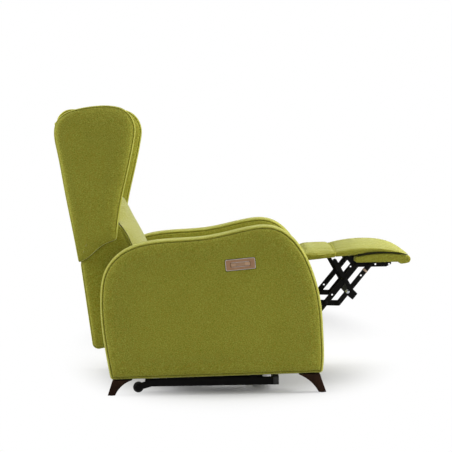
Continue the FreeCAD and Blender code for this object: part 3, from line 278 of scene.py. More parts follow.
def grid_mesh(name, points, wrap_rows=False):
    """A closed mesh over rows of points, joined round each row and, where asked, from the last row to the
    first."""
    rows, columns = points.shape[:2]
    r, c = np.meshgrid(np.arange(rows if wrap_rows else rows - 1), np.arange(columns), indexing="ij")
    r2, c2 = (r + 1) % rows, (c + 1) % columns
    corners = (r * columns + c, r * columns + c2, r2 * columns + c2, r2 * columns + c)
    return closed_mesh(name, points, np.stack(corners, axis=-1).reshape(-1, 4))


def join(name, pieces):
    """One object of several meshes, in their places."""
    shape = bmesh.new()
    for piece in pieces:
        shape.from_mesh(piece.data)
        bpy.data.objects.remove(piece)
    mesh = bpy.data.meshes.new(name)
    shape.to_mesh(mesh)
    shape.free()
    return linked(name, mesh)


def flat_bar(name, centre, along, long_half, high_half, depths):
    """A plain bar: a rectangle of x and z about its centre, turned to along, between two depths across."""
    up = np.array((-along[1], along[0]))
    ring = [centre + along * a * long_half + up * b * high_half for a, b in CORNERS]
    return closed_mesh(name, [(p[0], y, p[1]) for y in depths for p in ring], BAR_FACES)


def tube(name, path, radius, closed=False, across=(0, 1, 0)):
    """A round cord along a path: at each point a ring of the radius, square to the path."""
    path = np.asarray(path, float)
    along = np.roll(path, -1, axis=0) - np.roll(path, 1, axis=0)
    if not closed:
        along[0], along[-1] = path[1] - path[0], path[-1] - path[-2]
    along = unit(along)
    first = unit(np.cross(along, np.asarray(across, float)))
    second = np.cross(along, first)
    turn = turns(CORD_SIDES)[None, :, None]
    reach = np.full(len(path), radius)
    if not closed:
        reach[0] = reach[-1] = radius * 0.02
    ring = np.cos(turn) * first[:, None] + np.sin(turn) * second[:, None]
    return grid_mesh(name, path[:, None] + reach[:, None, None] * ring, closed)


def turned(name, profile, centre, axis):
    """A turned piece: a profile of (radius, reach along the axis) carried round the axis."""
    axis = np.asarray(axis, float)
    side = np.cross(axis, (0.3, 0.2, 0.9))
    side /= np.linalg.norm(side)
    other = np.cross(axis, side)
    turn = turns(TURNED_SIDES)
    ring = np.cos(turn)[:, None] * side + np.sin(turn)[:, None] * other
    profile = np.asarray(profile, float)
    points = np.asarray(centre, float) + profile[:, 0, None, None] * ring + profile[:, 1, None, None] * axis
    return grid_mesh(name, points)


def casing(name, loop, low, high, place, seam, dome, dip=0.004, groove=0.005, gap=0.0030, sewn=1.0,
           crown=0.0, reach=0.02):
    """An upholstered slab: padded faces at low and high, a seam groove inside the outline, and a domed
    border strip between the seams. Rings run from the heart of one face over the strip to the other's. A
    face falls towards its seam by crown, as exp(-distance / reach). sewn is the groove's share."""
    sewn, crown, reach = (np.broadcast_to(np.asarray(v, float), len(loop)) for v in (sewn, crown, reach))
    half, middle = (high - low) / 2, (high + low) / 2
    face_loops = inset_loops(loop, [seam + step for step in FACE_STEPS])
    centre = face_loops[-1].mean(axis=0)
    rings = [centre * share + face_loops[-1] * (1 - share) for share in HEART_SHARES] + face_loops[::-1]
    heights = [half - crown * np.exp(-(FACE_STEPS[-1] + share * 0.12) / reach) for share in HEART_SHARES]
    heights += [half - dip * sewn * np.exp(-step / 0.004) - crown * np.exp(-step / reach)
                for step in FACE_STEPS[::-1]]
    rim = half - dip * sewn - crown
    rings += inset_loops(loop, [seam - gap * 0.35, seam - gap * 0.65])
    heights += [rim - groove * sewn] * 2
    strip = seam - gap
    turn = np.linspace(1, 0, 11) ** 0.75
    strip_depths = dome * (1 - np.sqrt(held(1 - turn ** 2.4))) + (strip - dome) * turn ** 7
    rings += inset_loops(loop, strip_depths)
    heights += [rim * share for share in turn]
    across = np.stack(heights + [-h for h in heights[-2::-1]])
    grid = np.stack(rings + rings[-2::-1])
    return grid_mesh(name, place(grid[..., 0], middle + across, grid[..., 1]))


def eased(node, width):
    """A carried-over rigid piece with its edges eased, in the CAD piece's place."""
    mesh = NODES[node].data.copy()
    made = linked(node + "_eased", mesh)
    worked(mesh, MERGE / 2, lambda shape: bmesh.ops.dissolve_limit(
        shape, angle_limit=math.radians(0.5), verts=shape.verts, edges=shape.edges))
    modified(made, "ease", "BEVEL", width=width, segments=2, limit_method="ANGLE",
             angle_limit=math.radians(50), use_clamp_overlap=True)
    shaded(made)
    mesh.set_sharp_from_angle(angle=math.radians(40))
    dress(made, node, paint_for(node))


def painted(piece, material):
    piece.data.materials.clear()
    piece.data.materials.append(material)


def trim(piece, body, material):
    """Gives a piece its finish and body. Alone it is one that the CAD model leaves to the looks."""
    painted(piece, material)
    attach(piece, body)


def dress(piece, node, material):
    """Puts a piece in place of a CAD node, with the node's body."""
    trim(piece, BODY_OF[node], material)
    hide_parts(node)


# Shader maths

def operator(operation):
    return lambda self, other: self.math(operation, other)


class Value:
    """A socket that Python's operators work on; each operator adds a Math node."""

    __add__ = __radd__ = operator("ADD")
    __mul__ = __rmul__ = operator("MULTIPLY")
    __sub__, __truediv__ = operator("SUBTRACT"), operator("DIVIDE")

    def __init__(self, tree, socket):
        self.tree, self.socket = tree, socket

    def __rsub__(self, other):
        return (self * -1.0) + other

    def math(self, operation, *others, clamp=False):
        node = self.tree.nodes.new("ShaderNodeMath")
        node.operation = operation
        node.use_clamp = clamp
        for slot, value in zip(node.inputs, (self,) + others):
            connect(self.tree, slot, value)
        return Value(self.tree, node.outputs[0])

    def clamped(self, gain=1.0):
        return self.math("MULTIPLY", gain, clamp=True)


def connect(tree, socket, value):
    if isinstance(value, Value):
        tree.links.new(value.socket, socket)
    else:
        socket.default_value = value


class Paint:
    def __init__(self, name):
        self.material = bpy.data.materials.new(name)
        self.material.use_nodes = True
        self.tree = self.material.node_tree
        self.shader = self.tree.nodes["Principled BSDF"]
        self.place = self.add("ShaderNodeTexCoord", out="Object")

    def add(self, kind, settings=(), out=0, **inputs):
        node = given(self.tree.nodes.new(kind), dict(settings))
        for key, value in inputs.items():
            slot = node.inputs[int(key[1:])] if key[0] == "i" and key[1:].isdigit() \
                else node.inputs[key.replace("_", " ")]
            connect(self.tree, slot, value)
        return Value(self.tree, node.outputs[out])

    def stretched(self, x, y, z):
        return self.add("ShaderNodeVectorMath", {"operation": "MULTIPLY"}, i0=self.place, i1=(x, y, z))

    def noise(self, scale, detail, roughness, place=None):
        return self.add("ShaderNodeTexNoise", Vector=place or self.place, Scale=scale, Detail=detail,
                        Roughness=roughness)

    def axes(self):
        node = self.tree.nodes.new("ShaderNodeSeparateXYZ")
        connect(self.tree, node.inputs[0], self.place)
        return [Value(self.tree, out) for out in node.outputs]

    def between(self, share, first, second):
        node = self.tree.nodes.new("ShaderNodeMix")
        node.data_type = "RGBA"
        connect(self.tree, node.inputs["Factor"], share)
        for slot, colour in zip([s for s in node.inputs if s.type == "RGBA"], (first, second)):
            connect(self.tree, slot, colour if isinstance(colour, Value) else (*colour, 1.0))
        return Value(self.tree, next(s for s in node.outputs if s.type == "RGBA"))

    def finish(self, colour, roughness, bump=None, **sockets):
        """Sets the shader's sockets. A bump is its height, distance and strength."""
        if bump:
            height, distance, strength = bump
            sockets["Normal"] = self.add("ShaderNodeBump", Height=height, Distance=distance,
                                         Strength=strength)
        for key, value in dict(sockets, Base_Color=colour, Roughness=roughness).items():
            if isinstance(value, tuple) and len(value) == 3:
                value = (*value, 1.0)
            connect(self.tree, self.shader.inputs[key.replace("_", " ")], value)
        return self.material


# Finishes

# Dark, light and reddish thread, and the pitch of the weave
THREADS = ((0.150, 0.168, 0.003), (0.410, 0.420, 0.062), (0.300, 0.235, 0.020))
RIB_PITCH = 0.0021


def tinted(colour, gain, lift=0.0):
    return tuple(c * gain + lift for c in colour)


def make_fabric(name, lift=1.0, fuzz=0.5, bloom=(0.86, 0.90, 0.50)):
    """Woven melange: dark, light and reddish threads mixed by fine noise, crossing ribs and soft sheen."""
    paint = Paint(name)
    x, y, z = [(axis * (2 * math.pi / RIB_PITCH)).math("SINE") for axis in paint.axes()]
    cross = x * z + y * z + x * y
    speck = paint.noise(430.0, 2.0, 0.7)
    tuft = paint.noise(350.0, 2.0, 0.65)
    slub = paint.noise(310.0, 3.0, 0.6, paint.stretched(0.5, 0.5, 1.0))
    cloud = paint.noise(8.0, 2.0, 0.5)
    share = (speck * 2.0 + tuft * 3.0 + slub * 1.6 + cloud * 0.25 + cross * 0.04 - 2.92).clamped()
    dark, light, warm = (tinted(thread, lift) for thread in THREADS)
    turn = paint.noise(310.0, 2.0, 0.6, paint.stretched(1.0, 1.0, 0.8))
    colour = paint.between(((turn - 0.44) * 4.0).clamped(), paint.between(share, dark, light), warm)
    height = cross * 0.5 + speck * 0.8 + tuft * 0.5
    return paint.finish(colour, 0.92 - share * 0.10, (height, 0.0006, 0.7), Sheen_Weight=fuzz,
                        Sheen_Roughness=0.42, Sheen_Tint=bloom, Specular_IOR_Level=0.15)


def make_coat(name, colour, roughness, grain=900.0):
    """Powder coat: nearly even colour, fine orange peel, paler dust in broad patches."""
    paint = Paint(name)
    dust = paint.noise(35.0, 4.0, 0.6)
    peel = paint.noise(grain, 2.0, 0.5)
    tone = paint.between((dust - 0.45).clamped(1.6), colour, tinted(colour, 1.8, 0.001))
    return paint.finish(tone, dust * 0.18 + roughness, (peel, 0.0002, 0.5), Specular_IOR_Level=0.13)


def make_metal(name, colour, roughness, run=(1.0, 1.0, 1.0)):
    """Plated or drawn metal: fine lines along the run and slight staining."""
    paint = Paint(name)
    lines = paint.noise(700.0, 3.0, 0.6, paint.stretched(*run))
    stain = paint.noise(60.0, 3.0, 0.5)
    tone = paint.between(stain, colour, tinted(colour, 0.72))
    return paint.finish(tone, lines * 0.14 + stain * 0.10 + roughness, (lines, 0.0001, 0.4), Metallic=1.0)


def make_wood(name, dark, light, gloss, rings=55.0, run=(0.35, 1.0, 0.12)):
    """Stained or sawn timber: long streaks of grain, and pores as fine bump."""
    paint = Paint(name)
    streak = paint.noise(rings, 5.0, 0.65, paint.stretched(*run))
    fine = paint.noise(rings * 9, 4.0, 0.7, paint.stretched(*run))
    share = ((streak - 0.42) * 3.2 + (fine - 0.5) * 0.8).clamped()
    tone = paint.between(share, dark, light)
    return paint.finish(tone, fine * 0.14 + gloss, (fine, 0.0003, 0.5), Specular_IOR_Level=0.06)


def make_plastic(name, colour, roughness=0.5, grain=1400.0):
    """Moulded plastic: spark-eroded grain and a faint bloom."""
    paint = Paint(name)
    skin = paint.noise(grain, 2.0, 0.5)
    bloom = paint.noise(24.0, 3.0, 0.5)
    tone = paint.between((bloom - 0.4).clamped(1.4), colour, tinted(colour, 1.35, 0.006))
    return paint.finish(tone, bloom * 0.14 + roughness, (skin, 0.00015, 0.5))


def make_webbing(name):
    """Elastic strap: narrow ribs across and a pale thread now and then."""
    paint = Paint(name)
    x, y, _ = paint.axes()
    rib = ((x * 2600.0).math("SINE") + (y * 2600.0).math("SINE")) * 0.5
    fleck = paint.noise(320.0, 3.0, 0.7)
    tone = paint.between((fleck + rib * 0.12).clamped(), (0.02, 0.018, 0.016), (0.12, 0.10, 0.08))
    return paint.finish(tone, 0.9 - fleck * 0.1, (rib + fleck, 0.0004, 0.6))


FABRIC = make_fabric("olive_melange")
# A lighter, whiter copy of the fabric for the back cushions: painted highlight where the front light falls on
# them.
LIT_FABRIC = make_fabric("olive_melange_painted_highlight", lift=1.07, fuzz=0.9, bloom=(0.96, 1.0, 0.86))
# The piping's fabric half as light again: painted highlight along the piping cords.
PIPING_HIGHLIGHT = make_fabric("olive_piping_highlight", lift=1.5, fuzz=0.3)
# A dark copy of the fabric for cords in the seam grooves: painted shade in the grooves.
SEAM_SHADE = make_fabric("olive_seam_shadow", lift=0.42, fuzz=0.0)
# Near-black fabric for painted shade: cords and strips in gaps and along shadow lines.
SHADE = make_fabric("painted_shade_cloth", lift=0.06, fuzz=0.0)
STEEL = make_coat("black_powder_coat", (0.0018, 0.0015, 0.0013), 0.50)
RIVET = make_metal("zinc_plate", (0.70, 0.73, 0.76), 0.30)
# Pale metal for the plate's rim: it reflects the lamps, and its pale colour paints the highlight on the plate's
# edge.
EDGE_HIGHLIGHT = make_metal("satin_edge_highlight", (0.86, 0.84, 0.78), 0.45)
ROD = make_metal("drawn_tube", (0.60, 0.60, 0.61), 0.22, (0.05, 1.0, 1.0))
COPPER = make_metal("copper_brown_plate", (0.435, 0.256, 0.150), 0.42, (0.06, 1.0, 1.0))
KEYS = make_plastic("switch_moulding", (0.40, 0.235, 0.135), 0.34)
CAPS = make_plastic("button_cap", (0.46, 0.28, 0.165), 0.34)
PLASTIC = make_plastic("black_moulding", (0.016, 0.016, 0.017))
LEG_WOOD = make_wood("dark_stained_beech", (0.017, 0.0075, 0.0042), (0.060, 0.028, 0.016), 0.55)
TIMBER = make_wood("sawn_pine", (0.42, 0.27, 0.13), (0.68, 0.50, 0.29), 0.72, 26.0, (0.2, 1.0, 1.0))
WEBBING = make_webbing("seat_webbing")
NYLON = make_plastic("beige_nylon", (0.42, 0.30, 0.22), 0.5)
TREAD = make_plastic("wheel_tread", (0.012, 0.012, 0.012), 0.62, 700.0)
# Near-black for the strip under the footrest board's lip.
LIP_BLACK = make_coat("black_under_lip", (0.006, 0.006, 0.006), 0.85, 500.0)

SLOT_PAINTS = {"upholstery": FABRIC, "frame_timber": TIMBER, "webbing": WEBBING, "leg_timber": LEG_WOOD,
               "black_steel": STEEL, "plated_steel": RIVET, "rod_steel": ROD, "black_plastic": PLASTIC,
               "plate_paint": COPPER, "button_plastic": KEYS}
NODE_PAINTS = {"button_recline": CAPS, "button_footrest": CAPS, "switch_housing": KEYS,
               "transport_wheel_right": TREAD, "transport_wheel_left": TREAD}


def paint_for(node):
    return NODE_PAINTS.get(node, SLOT_PAINTS[SLOT_OF[node]])


# Camera, floor and light

def make_camera():
    """The camera looks along +Y through the picture's vanishing point, rolled as the picture is."""
    half = PICTURE / 2
    ahead = np.array(((VANISHING[0] - half) / FOCAL_PIXELS, (VANISHING[1] - half) / FOCAL_PIXELS, 1.0))
    ahead /= np.linalg.norm(ahead)
    across = np.array((math.cos(CAMERA_ROLL), -math.sin(CAMERA_ROLL), 0.0))
    across -= across.dot(ahead) * ahead
    across /= np.linalg.norm(across)
    up = np.cross(across, ahead)
    turn = Matrix((np.array((across, ahead, up)) * (1, -1, -1)).tolist())
    data = bpy.data.cameras.new("camera")
    data.sensor_width = 36.0
    data.lens = 36.0 * FOCAL_PIXELS / PICTURE
    data.clip_end = 100.0
    camera = linked("camera", data)
    camera.matrix_world = Matrix.Translation(CAMERA_PLACE) @ turn.to_4x4()
    bpy.context.scene.camera = camera


def seen_by(tree, *rays):
    """1 for what the camera sees, itself or by the rays named, and 0 for other light."""
    path = tree.nodes.new("ShaderNodeLightPath")
    seen = Value(tree, path.outputs["Is Camera Ray"])
    for ray in rays:
        seen = seen.math("MAXIMUM", Value(tree, path.outputs["Is %s Ray" % ray]))
    return seen


def make_floor():
    """A wide pale floor. Where it is seen it is lifted to white, apart from the shadow round the chair."""
    corners = [(a * FLOOR_FAR, b * FLOOR_FAR, 0) for a, b in CORNERS]
    floor = mesh_object("studio_floor", corners, [(0, 1, 2, 3)])
    paint = Paint("studio_white")
    along, back = ((axis - middle) / reach
                   for axis, middle, reach in zip(paint.axes(), FLOOR_MIDDLE, FLOOR_REACH))
    from_chair = (along * along + back * back).math("SQRT")
    fade = ((from_chair - FLOOR_NEAR) / (1.0 - FLOOR_NEAR)).clamped()
    fade = fade * fade * (3.0 - fade * 2.0)
    paint.finish((FLOOR_TONE,) * 3, 0.9, Specular_IOR_Level=0.0)
    white = paint.add("ShaderNodeEmission", Color=WHITE, Strength=1.0)
    both = paint.add("ShaderNodeMixShader", i0=seen_by(paint.tree, "Glossy", "Transmission") * fade,
                     i1=Value(paint.tree, paint.shader.outputs[0]), i2=white)
    connect(paint.tree, paint.tree.nodes["Material Output"].inputs["Surface"], both)
    floor.data.materials.append(paint.material)


def make_light():
    """A large soft box overhead, one each from the front and the rear of the chair, and a dim white room."""
    for name, place, aim, size, power in LAMPS:
        data = bpy.data.lights.new(name, "AREA")
        data.shape = "RECTANGLE"
        data.size, data.size_y = size
        data.energy = power
        lamp = linked(name, data)
        lamp.location = place
        lamp.rotation_mode = "QUATERNION"
        lamp.rotation_quaternion = (Vector(aim) - Vector(place)).to_track_quat("-Z", "Y")
    world = bpy.data.worlds.new("studio_room")
    world.use_nodes = True
    tree = world.node_tree
    back = tree.nodes["Background"]
    back.inputs["Color"].default_value = WHITE
    connect(tree, back.inputs["Strength"], seen_by(tree, "Transmission") * (1.0 - ROOM_LIGHT) + ROOM_LIGHT)
    bpy.context.scene.world = world


# Arms

def seam_lines(name, loop, depth, faces, place, radius, body, material):
    """A cord in the groove of each face of a casing: faces are its distances across."""
    path = inset_loops(loop, [depth])[0]
    cords = [tube("cord", place(path[:, 0], at, path[:, 1]), radius, closed=True) for at in faces]
    trim(join(name, cords), body, material)


def make_arm(word, side):
    """An arm: two flat sides sewn to the border strip that runs over its crest."""
    points = [(ARM_REAR_X + a * ARM_LENGTH, b * ARM_HEIGHT) for a, b in ARM_SHARES]
    loop = softened(even_path(spline_through(points, 260), 420, closed=True), 4)
    place = sided(level, side)
    arm = casing("arm_%s_cover" % word, loop, ARM_INNER, ARM_OUTER, place, seam=0.0142, dome=0.0100,
                 dip=0.0016, groove=0.0024, gap=0.0024, crown=0.0058, reach=0.017)
    dress(arm, "arm_cover_" + word, FABRIC)
    faces = (ARM_OUTER - ARM_SEAM_IN, ARM_INNER + ARM_SEAM_IN)
    # The dark cords paint shade in the arm's seam grooves.
    seam_lines("arm_%s_seams" % word, loop, 0.0130, faces, place, 0.0013, "base", SEAM_SHADE)


# Back

def wing_loop():
    outline, under = (np.array(shares) * (WING_DEPTH, WING_HEIGHT) + (WING_REAR, WING_LOW)
                      for shares in (WING_SHARES, WING_UNDER_SHARES))
    under = np.vstack((outline[-1:], under, outline[:1]))
    whole = np.vstack((spline_through(outline, 240), spline_through(under, 60)[1:-1]))
    return softened(even_path(whole, 320, closed=True), 3)


def run_of(path, chosen):
    """The one stretch of a closed path whose points are chosen, in order."""
    start = np.nonzero(chosen & ~np.roll(chosen, 1))[0][0]
    return np.roll(path, -start, axis=0)[:np.count_nonzero(chosen)]


def make_wing(word, side):
    """A wing: sewn with piping along its top and front, drawn round softly at its rear and below."""
    loop, place = wing_loop(), sided(leaned, side)
    along = (loop[:, 0] - WING_REAR) / WING_DEPTH
    up = (loop[:, 1] - WING_LOW) / WING_HEIGHT
    front = softened(held((along - 0.30 - 0.2 * (1 - up)) / 0.10) * held((up - 0.09) / 0.04), 12)
    sewn = softened(np.maximum(front, held((up - 0.93) / 0.03)), 6)
    crown = (0.0090 + 0.0060 * front) * (0.3 + 0.7 * held((up - 0.10) / 0.22))
    wing = casing("wing_%s_cover" % word, loop, WING_INNER, WING_OUTER, place, seam=0.0055, dome=0.0046,
                  dip=0.0014, groove=0.0012, gap=0.0018, sewn=sewn, crown=crown, reach=0.010 + 0.014 * front)
    dress(wing, "wing_" + word, FABRIC)
    shown = sewn > 0.5
    sunk = run_of(crown, shown)
    # Pale piping cords paint a highlight; the dark seam cords paint shade in the grooves.
    for end, depth, radius, below, finish in (("piping", 0.0040, 0.0015, 0.0010, PIPING_HIGHLIGHT),
                                              ("seams", 0.0058, 0.0010, 0.0008, SEAM_SHADE)):
        path = run_of(inset_loops(loop, [depth])[0], shown)
        cords = [tube("cord", place(path[:, 0], at + way * (sunk + below), path[:, 1]), radius)
                 for at, way in ((WING_OUTER, -1), (WING_INNER, 1))]
        trim(join("wing_%s_%s" % (word, end), cords), "back", finish)
    # A dark cord under the wing's lower edge: painted shade where the wing overhangs the lower back.
    under = run_of(loop, (up < 0.10) & (along > 0.03) & (along < 0.47))
    path = place(under[:, 0], BACK_HALF + 0.0008, under[:, 1] - 0.0002)
    trim(tube("wing_%s_fold" % word, path, 0.0013), "back", SEAM_SHADE)


def make_back_shell():
    """The broad lower box with its step, and the plain box between the wings, as one cover."""
    rear = np.array(((WING_REAR + 0.006, BACK_MID + 0.026), (WING_REAR - 0.0055, BACK_MID - 0.008),
                     (BACK_REAR - 0.0035, BACK_BOTTOM + 0.022), (BACK_REAR + 0.004, BACK_BOTTOM + 0.009),
                     (BACK_REAR + 0.018, BACK_BOTTOM)))
    step = ((BACK_STEP_FRONT, BACK_BOTTOM), (BACK_STEP_FRONT, BACK_STEP))
    loop = softened(even_path(np.vstack((rear, step, BOX_EDGE)), 380, closed=True), 2)
    lower = casing("lower_back", loop, -BACK_HALF, BACK_HALF, leaned, seam=0.0085, dome=0.0050, dip=0.0035,
                   groove=0.002, gap=0.0024, crown=0.004, reach=0.007)
    seam_lines("lower_back_piping", loop, 0.0066, (BACK_HALF - 0.0072, 0.0072 - BACK_HALF), leaned,
               0.0019, "back", PIPING_HIGHLIGHT)
    low, top = BACK_MID - 0.02, np.array((0, BACK_TOP))
    crest = top + np.array(((BACK_FRONT, 0), (-0.1343, 0.0118), (-0.1494, 0.0163), (-0.1726, 0.0209),
                            (-0.1884, 0.0216), (-0.2058, 0.0154), (-0.2197, 0.0062), (-0.2313, -0.0056),
                            (BACK_UPPER_REAR, -0.028)))
    corners = np.vstack(((BACK_UPPER_REAR, low), (BACK_FRONT, low), crest))
    upper_loop = softened(even_path(corners, 200, closed=True), 3)
    upper = casing("upper_back", upper_loop, -WING_INNER - 0.004, WING_INNER + 0.004, leaned, seam=0.0085,
                   dome=0.005, crown=0.014, reach=0.012)
    dress(join("back_cover", [lower, upper]), "back_shell", FABRIC)
    seam_lines("upper_back_piping", upper_loop, 0.0045, (WING_INNER - 0.0110, 0.0110 - WING_INNER), leaned,
               0.0042, "back", PIPING_HIGHLIGHT)


def make_outer_back():
    """The panel behind: a padded rectangle with piping round it, held off the box by its wadding."""
    half = WING_INNER - 0.007
    low, high = BACK_MID + 0.014, BACK_TOP - 0.014
    corners = np.array(((-half, low), (half, low), (half, high), (-half, high)))
    loop = softened(even_path(corners, 300, closed=True), 30)

    def place(y, u, w):
        return leaned(u + 0.010 * held((w - 0.675) / 0.046) ** 2, y, w)
    panel = casing("outer_back_cover", loop, BACK_UPPER_REAR - 0.008, BACK_UPPER_REAR + 0.001, place,
                   seam=0.006, dome=0.003, dip=0.0024, groove=0.0008, gap=0.0016)
    dress(panel, "outer_back_panel", FABRIC)
    seam_loop = inset_loops(loop, [0.0055])[0]
    path = leaned(BACK_UPPER_REAR - 0.0060, seam_loop[:, 0], seam_loop[:, 1])
    cord = tube("outer_back_piping", path, 0.0020, closed=True, across=(1, 0, 0.18))
    trim(cord, "back", PIPING_HIGHLIGHT)


# Cushions

CLOTH = {"quality": 5, "mass": 0.3, "tension_stiffness": 12.0, "compression_stiffness": 12.0,
         "shear_stiffness": 6.0, "bending_stiffness": 1.5, "vertex_group_mass": "held", "use_pressure": True,
         "uniform_pressure_force": 4.0}
CLOTH_STEPS, RAY_REACH, SECTION_COUNT = 20, 0.6, 90


def near(points, paths):
    """The least distance from each point to the paths' points."""
    return np.min([np.linalg.norm(points - place, axis=1) for place in np.vstack(paths)], axis=0)


def coordinates(mesh, kind="co"):
    flat = np.zeros(len(mesh.vertices) * 3)
    mesh.vertices.foreach_get(kind, flat)
    return flat.reshape(-1, 3)


def put(mesh, points):
    mesh.vertices.foreach_set("co", points.ravel())


def applied(made):
    """The object's mesh with its modifiers worked in."""
    seen = made.evaluated_get(bpy.context.evaluated_depsgraph_get())
    mesh = bpy.data.meshes.new_from_object(seen)
    made.modifiers.clear()
    made.data = mesh
    return made


def tree_of(piece):
    return BVHTree.FromObject(piece, bpy.context.evaluated_depsgraph_get())


def hit_from(trees, centre, way):
    """The farthest place of the surfaces from a centre, along a way out."""
    hits = [tree.ray_cast(centre + way * RAY_REACH, -way) for tree in trees]
    return max([0.0] + [RAY_REACH - gap for place, _, _, gap in hits if place is not None])


def remeshed(name, mesh, voxel, smaller):
    """A cushion's form merged, drawn in a little and meshed in even squares."""
    made = linked(name, mesh.copy())
    worked(made.data, MERGE)
    modified(made, "even", "REMESH", mode="VOXEL", voxel_size=voxel)
    applied(made)
    modified(made, "draw_in", "DISPLACE", strength=-smaller, mid_level=0.0)
    modified(made, "ease", "SMOOTH", iterations=4)
    return applied(made)


def inflated(name, mesh, seams, floor_of, smaller, cap, voxel=0.006, shape=None):
    """A stuffed cushion: the cover is held along its seams and its base and blown out by pressure
    as cloth, and no point moves further than the cap."""
    made = remeshed(name, mesh, voxel, smaller)
    if shape:
        put(made.data, shape(coordinates(made.data)))
    rest = coordinates(made.data)
    hold = held(1.25 - near(rest, seams) / 0.010)
    hold = np.round(np.maximum(hold, floor_of(rest)), 1)
    group = made.vertex_groups.new(name="held")
    for share in np.unique(hold[hold > 0]):
        group.add(np.nonzero(hold == share)[0].tolist(), float(share), "REPLACE")
    cloth = modified(made, "cloth", "CLOTH")
    given(cloth.settings, CLOTH)
    cloth.settings.effector_weights.gravity = 0.0
    cloth.collision_settings.use_collision = False
    for step in range(1, CLOTH_STEPS + 1):
        bpy.context.scene.frame_set(step)
    applied(made)
    bpy.context.scene.frame_set(1)
    move = coordinates(made.data) - rest
    far = np.linalg.norm(move, axis=1)
    move *= (np.minimum(far, cap) / np.maximum(far, 1e-9))[:, None]
    put(made.data, rest + move)
    made.vertex_groups.clear()
    modified(shaded(made), "finer", "SUBSURF", levels=1, render_levels=1)
    return made


def laid_on(piece, path, lift):
    """A path moved to the nearest places on a piece, a little above its surface."""
    tree, made = tree_of(piece), []
    for point in path:
        place, normal, _, _ = tree.find_nearest(Vector(point))
        made.append(place + normal * lift)
    return smoothed_run(np.array(made), 1)


def folds(piece, strength, wave):
    """Small creases pressed into a cushion: wave gives each point's height from its place."""
    mesh = piece.data
    points = coordinates(mesh)
    put(mesh, points + coordinates(mesh, "normal") * (strength * wave(points))[:, None])
    mesh.update()


def section_lines(sections):
    """Even shares along a cushion and the sections' values there, by a spline through them."""
    return spline_through(np.array(sections), SECTION_COUNT).T


def make_seat():
    share, width, side_share = section_lines(SEAT_SECTIONS)
    x = SEAT_REAR + share * (SEAT_FRONT - SEAT_REAR)
    brow = SEAT_BASE + side_share * SEAT_SIDE
    half = width * SEAT_HALF - 0.007
    lines = [level(x, side * half, brow) for side in HANDS]
    across = np.linspace(-1, 1, 60)
    front = level(SEAT_FRONT, across * half[-1], brow[-1] + 0.020 * (1 - across ** 2))

    def base(points):
        return held((SEAT_BASE + 0.012 - points[:, 2]) / 0.008)
    seat = inflated("seat_cushion_cover", NODES["seat_cushion"].data, lines + [front], base, 0.008, 0.022)
    folds(seat, 0.0012, lambda p: np.sin(p[:, 1] * 60 + np.sin(p[:, 0] * 17) * 2)
          * np.exp(-((p[:, 0] - SEAT_FRONT + 0.05) / 0.05) ** 2))
    dress(seat, "seat_cushion", FABRIC)
    loop = np.vstack((lines[0], front[1:-1], lines[1][::-1]))
    cord = tube("seat_piping", laid_on(seat, even_path(loop, 360), 0.0008), 0.0026, across=(0, 0, 1))
    trim(cord, "base", PIPING_HIGHLIGHT)


def back_base(points):
    """1 at the back of a back cushion, where it rests on the webbing, falling to 0 a little in front."""
    return held((BACK_FRONT + 0.014 - upright(points)[0]) / 0.008)


def rolled(points):
    """The head cushion's points with its front edges rolled in: in front of the seam, the width falls away
    as the square of the way to the front."""
    share, _, front = section_lines(HEAD_SECTIONS)
    u, w = upright(points)
    edge = BACK_FRONT + np.interp(w, HEAD_LOW + share * HEAD_HEIGHT, front) * HEAD_DEPTH
    way = held((u - edge + HEAD_ROLL) / (HEAD_ROLL + 0.020))
    made = points.copy()
    made[:, 1] *= 1 - 0.085 * way ** 2 * (HEAD_ROLL / 0.030)
    return made


def table_of(pairs, places):
    pairs = np.array(pairs)
    return np.interp(places, pairs[:, 0], pairs[:, 1])


def box_front(w):
    """How far forward the padded box of the back reaches at each height."""
    return np.interp(w, BOX_EDGE[:, 1], BOX_EDGE[:, 0])


def lumbar_form():
    """A lens across the back: at each height the depth in front of the box falls from the middle to the side
    as (1 - side^2.2)^0.85, and the whole closes to a rounded edge below and a thin one above."""
    rise = np.linspace(0, 1, 60)
    w = LUMBAR_LOW + rise * (LUMBAR_HIGH - LUMBAR_LOW)
    back = box_front(w)
    ends = np.minimum(held(rise / 0.10), held((1 - rise) / 0.05))
    round_off = np.sqrt(held(1 - (1 - ends) ** 2))
    depth = (table_of(LUMBAR_FRONT, w) - back) * round_off + 0.003
    half = table_of(LUMBAR_HALF, w)
    side = np.sin(np.linspace(-1, 1, 72) * math.pi / 2)
    front = back[:, None] + depth[:, None] * held(1 - np.abs(side) ** 2.2) ** 0.85
    rear = np.repeat((back - 0.016)[:, None], 30, axis=1)
    u = np.concatenate((front, rear), axis=1)
    y = half[:, None] * np.concatenate((side, np.linspace(1, -1, 30)))[None]
    ends = [np.repeat([[value[k].mean()]], u.shape[1], axis=1) for k in (0, -1) for value in (u, y)]
    u = np.concatenate((ends[0], u, ends[2]))
    y = np.concatenate((ends[1], y, ends[3]))
    w = np.concatenate((w[:1], w, w[-1:]))
    return grid_mesh("lumbar_form", leaned(u, y, w[:, None]))


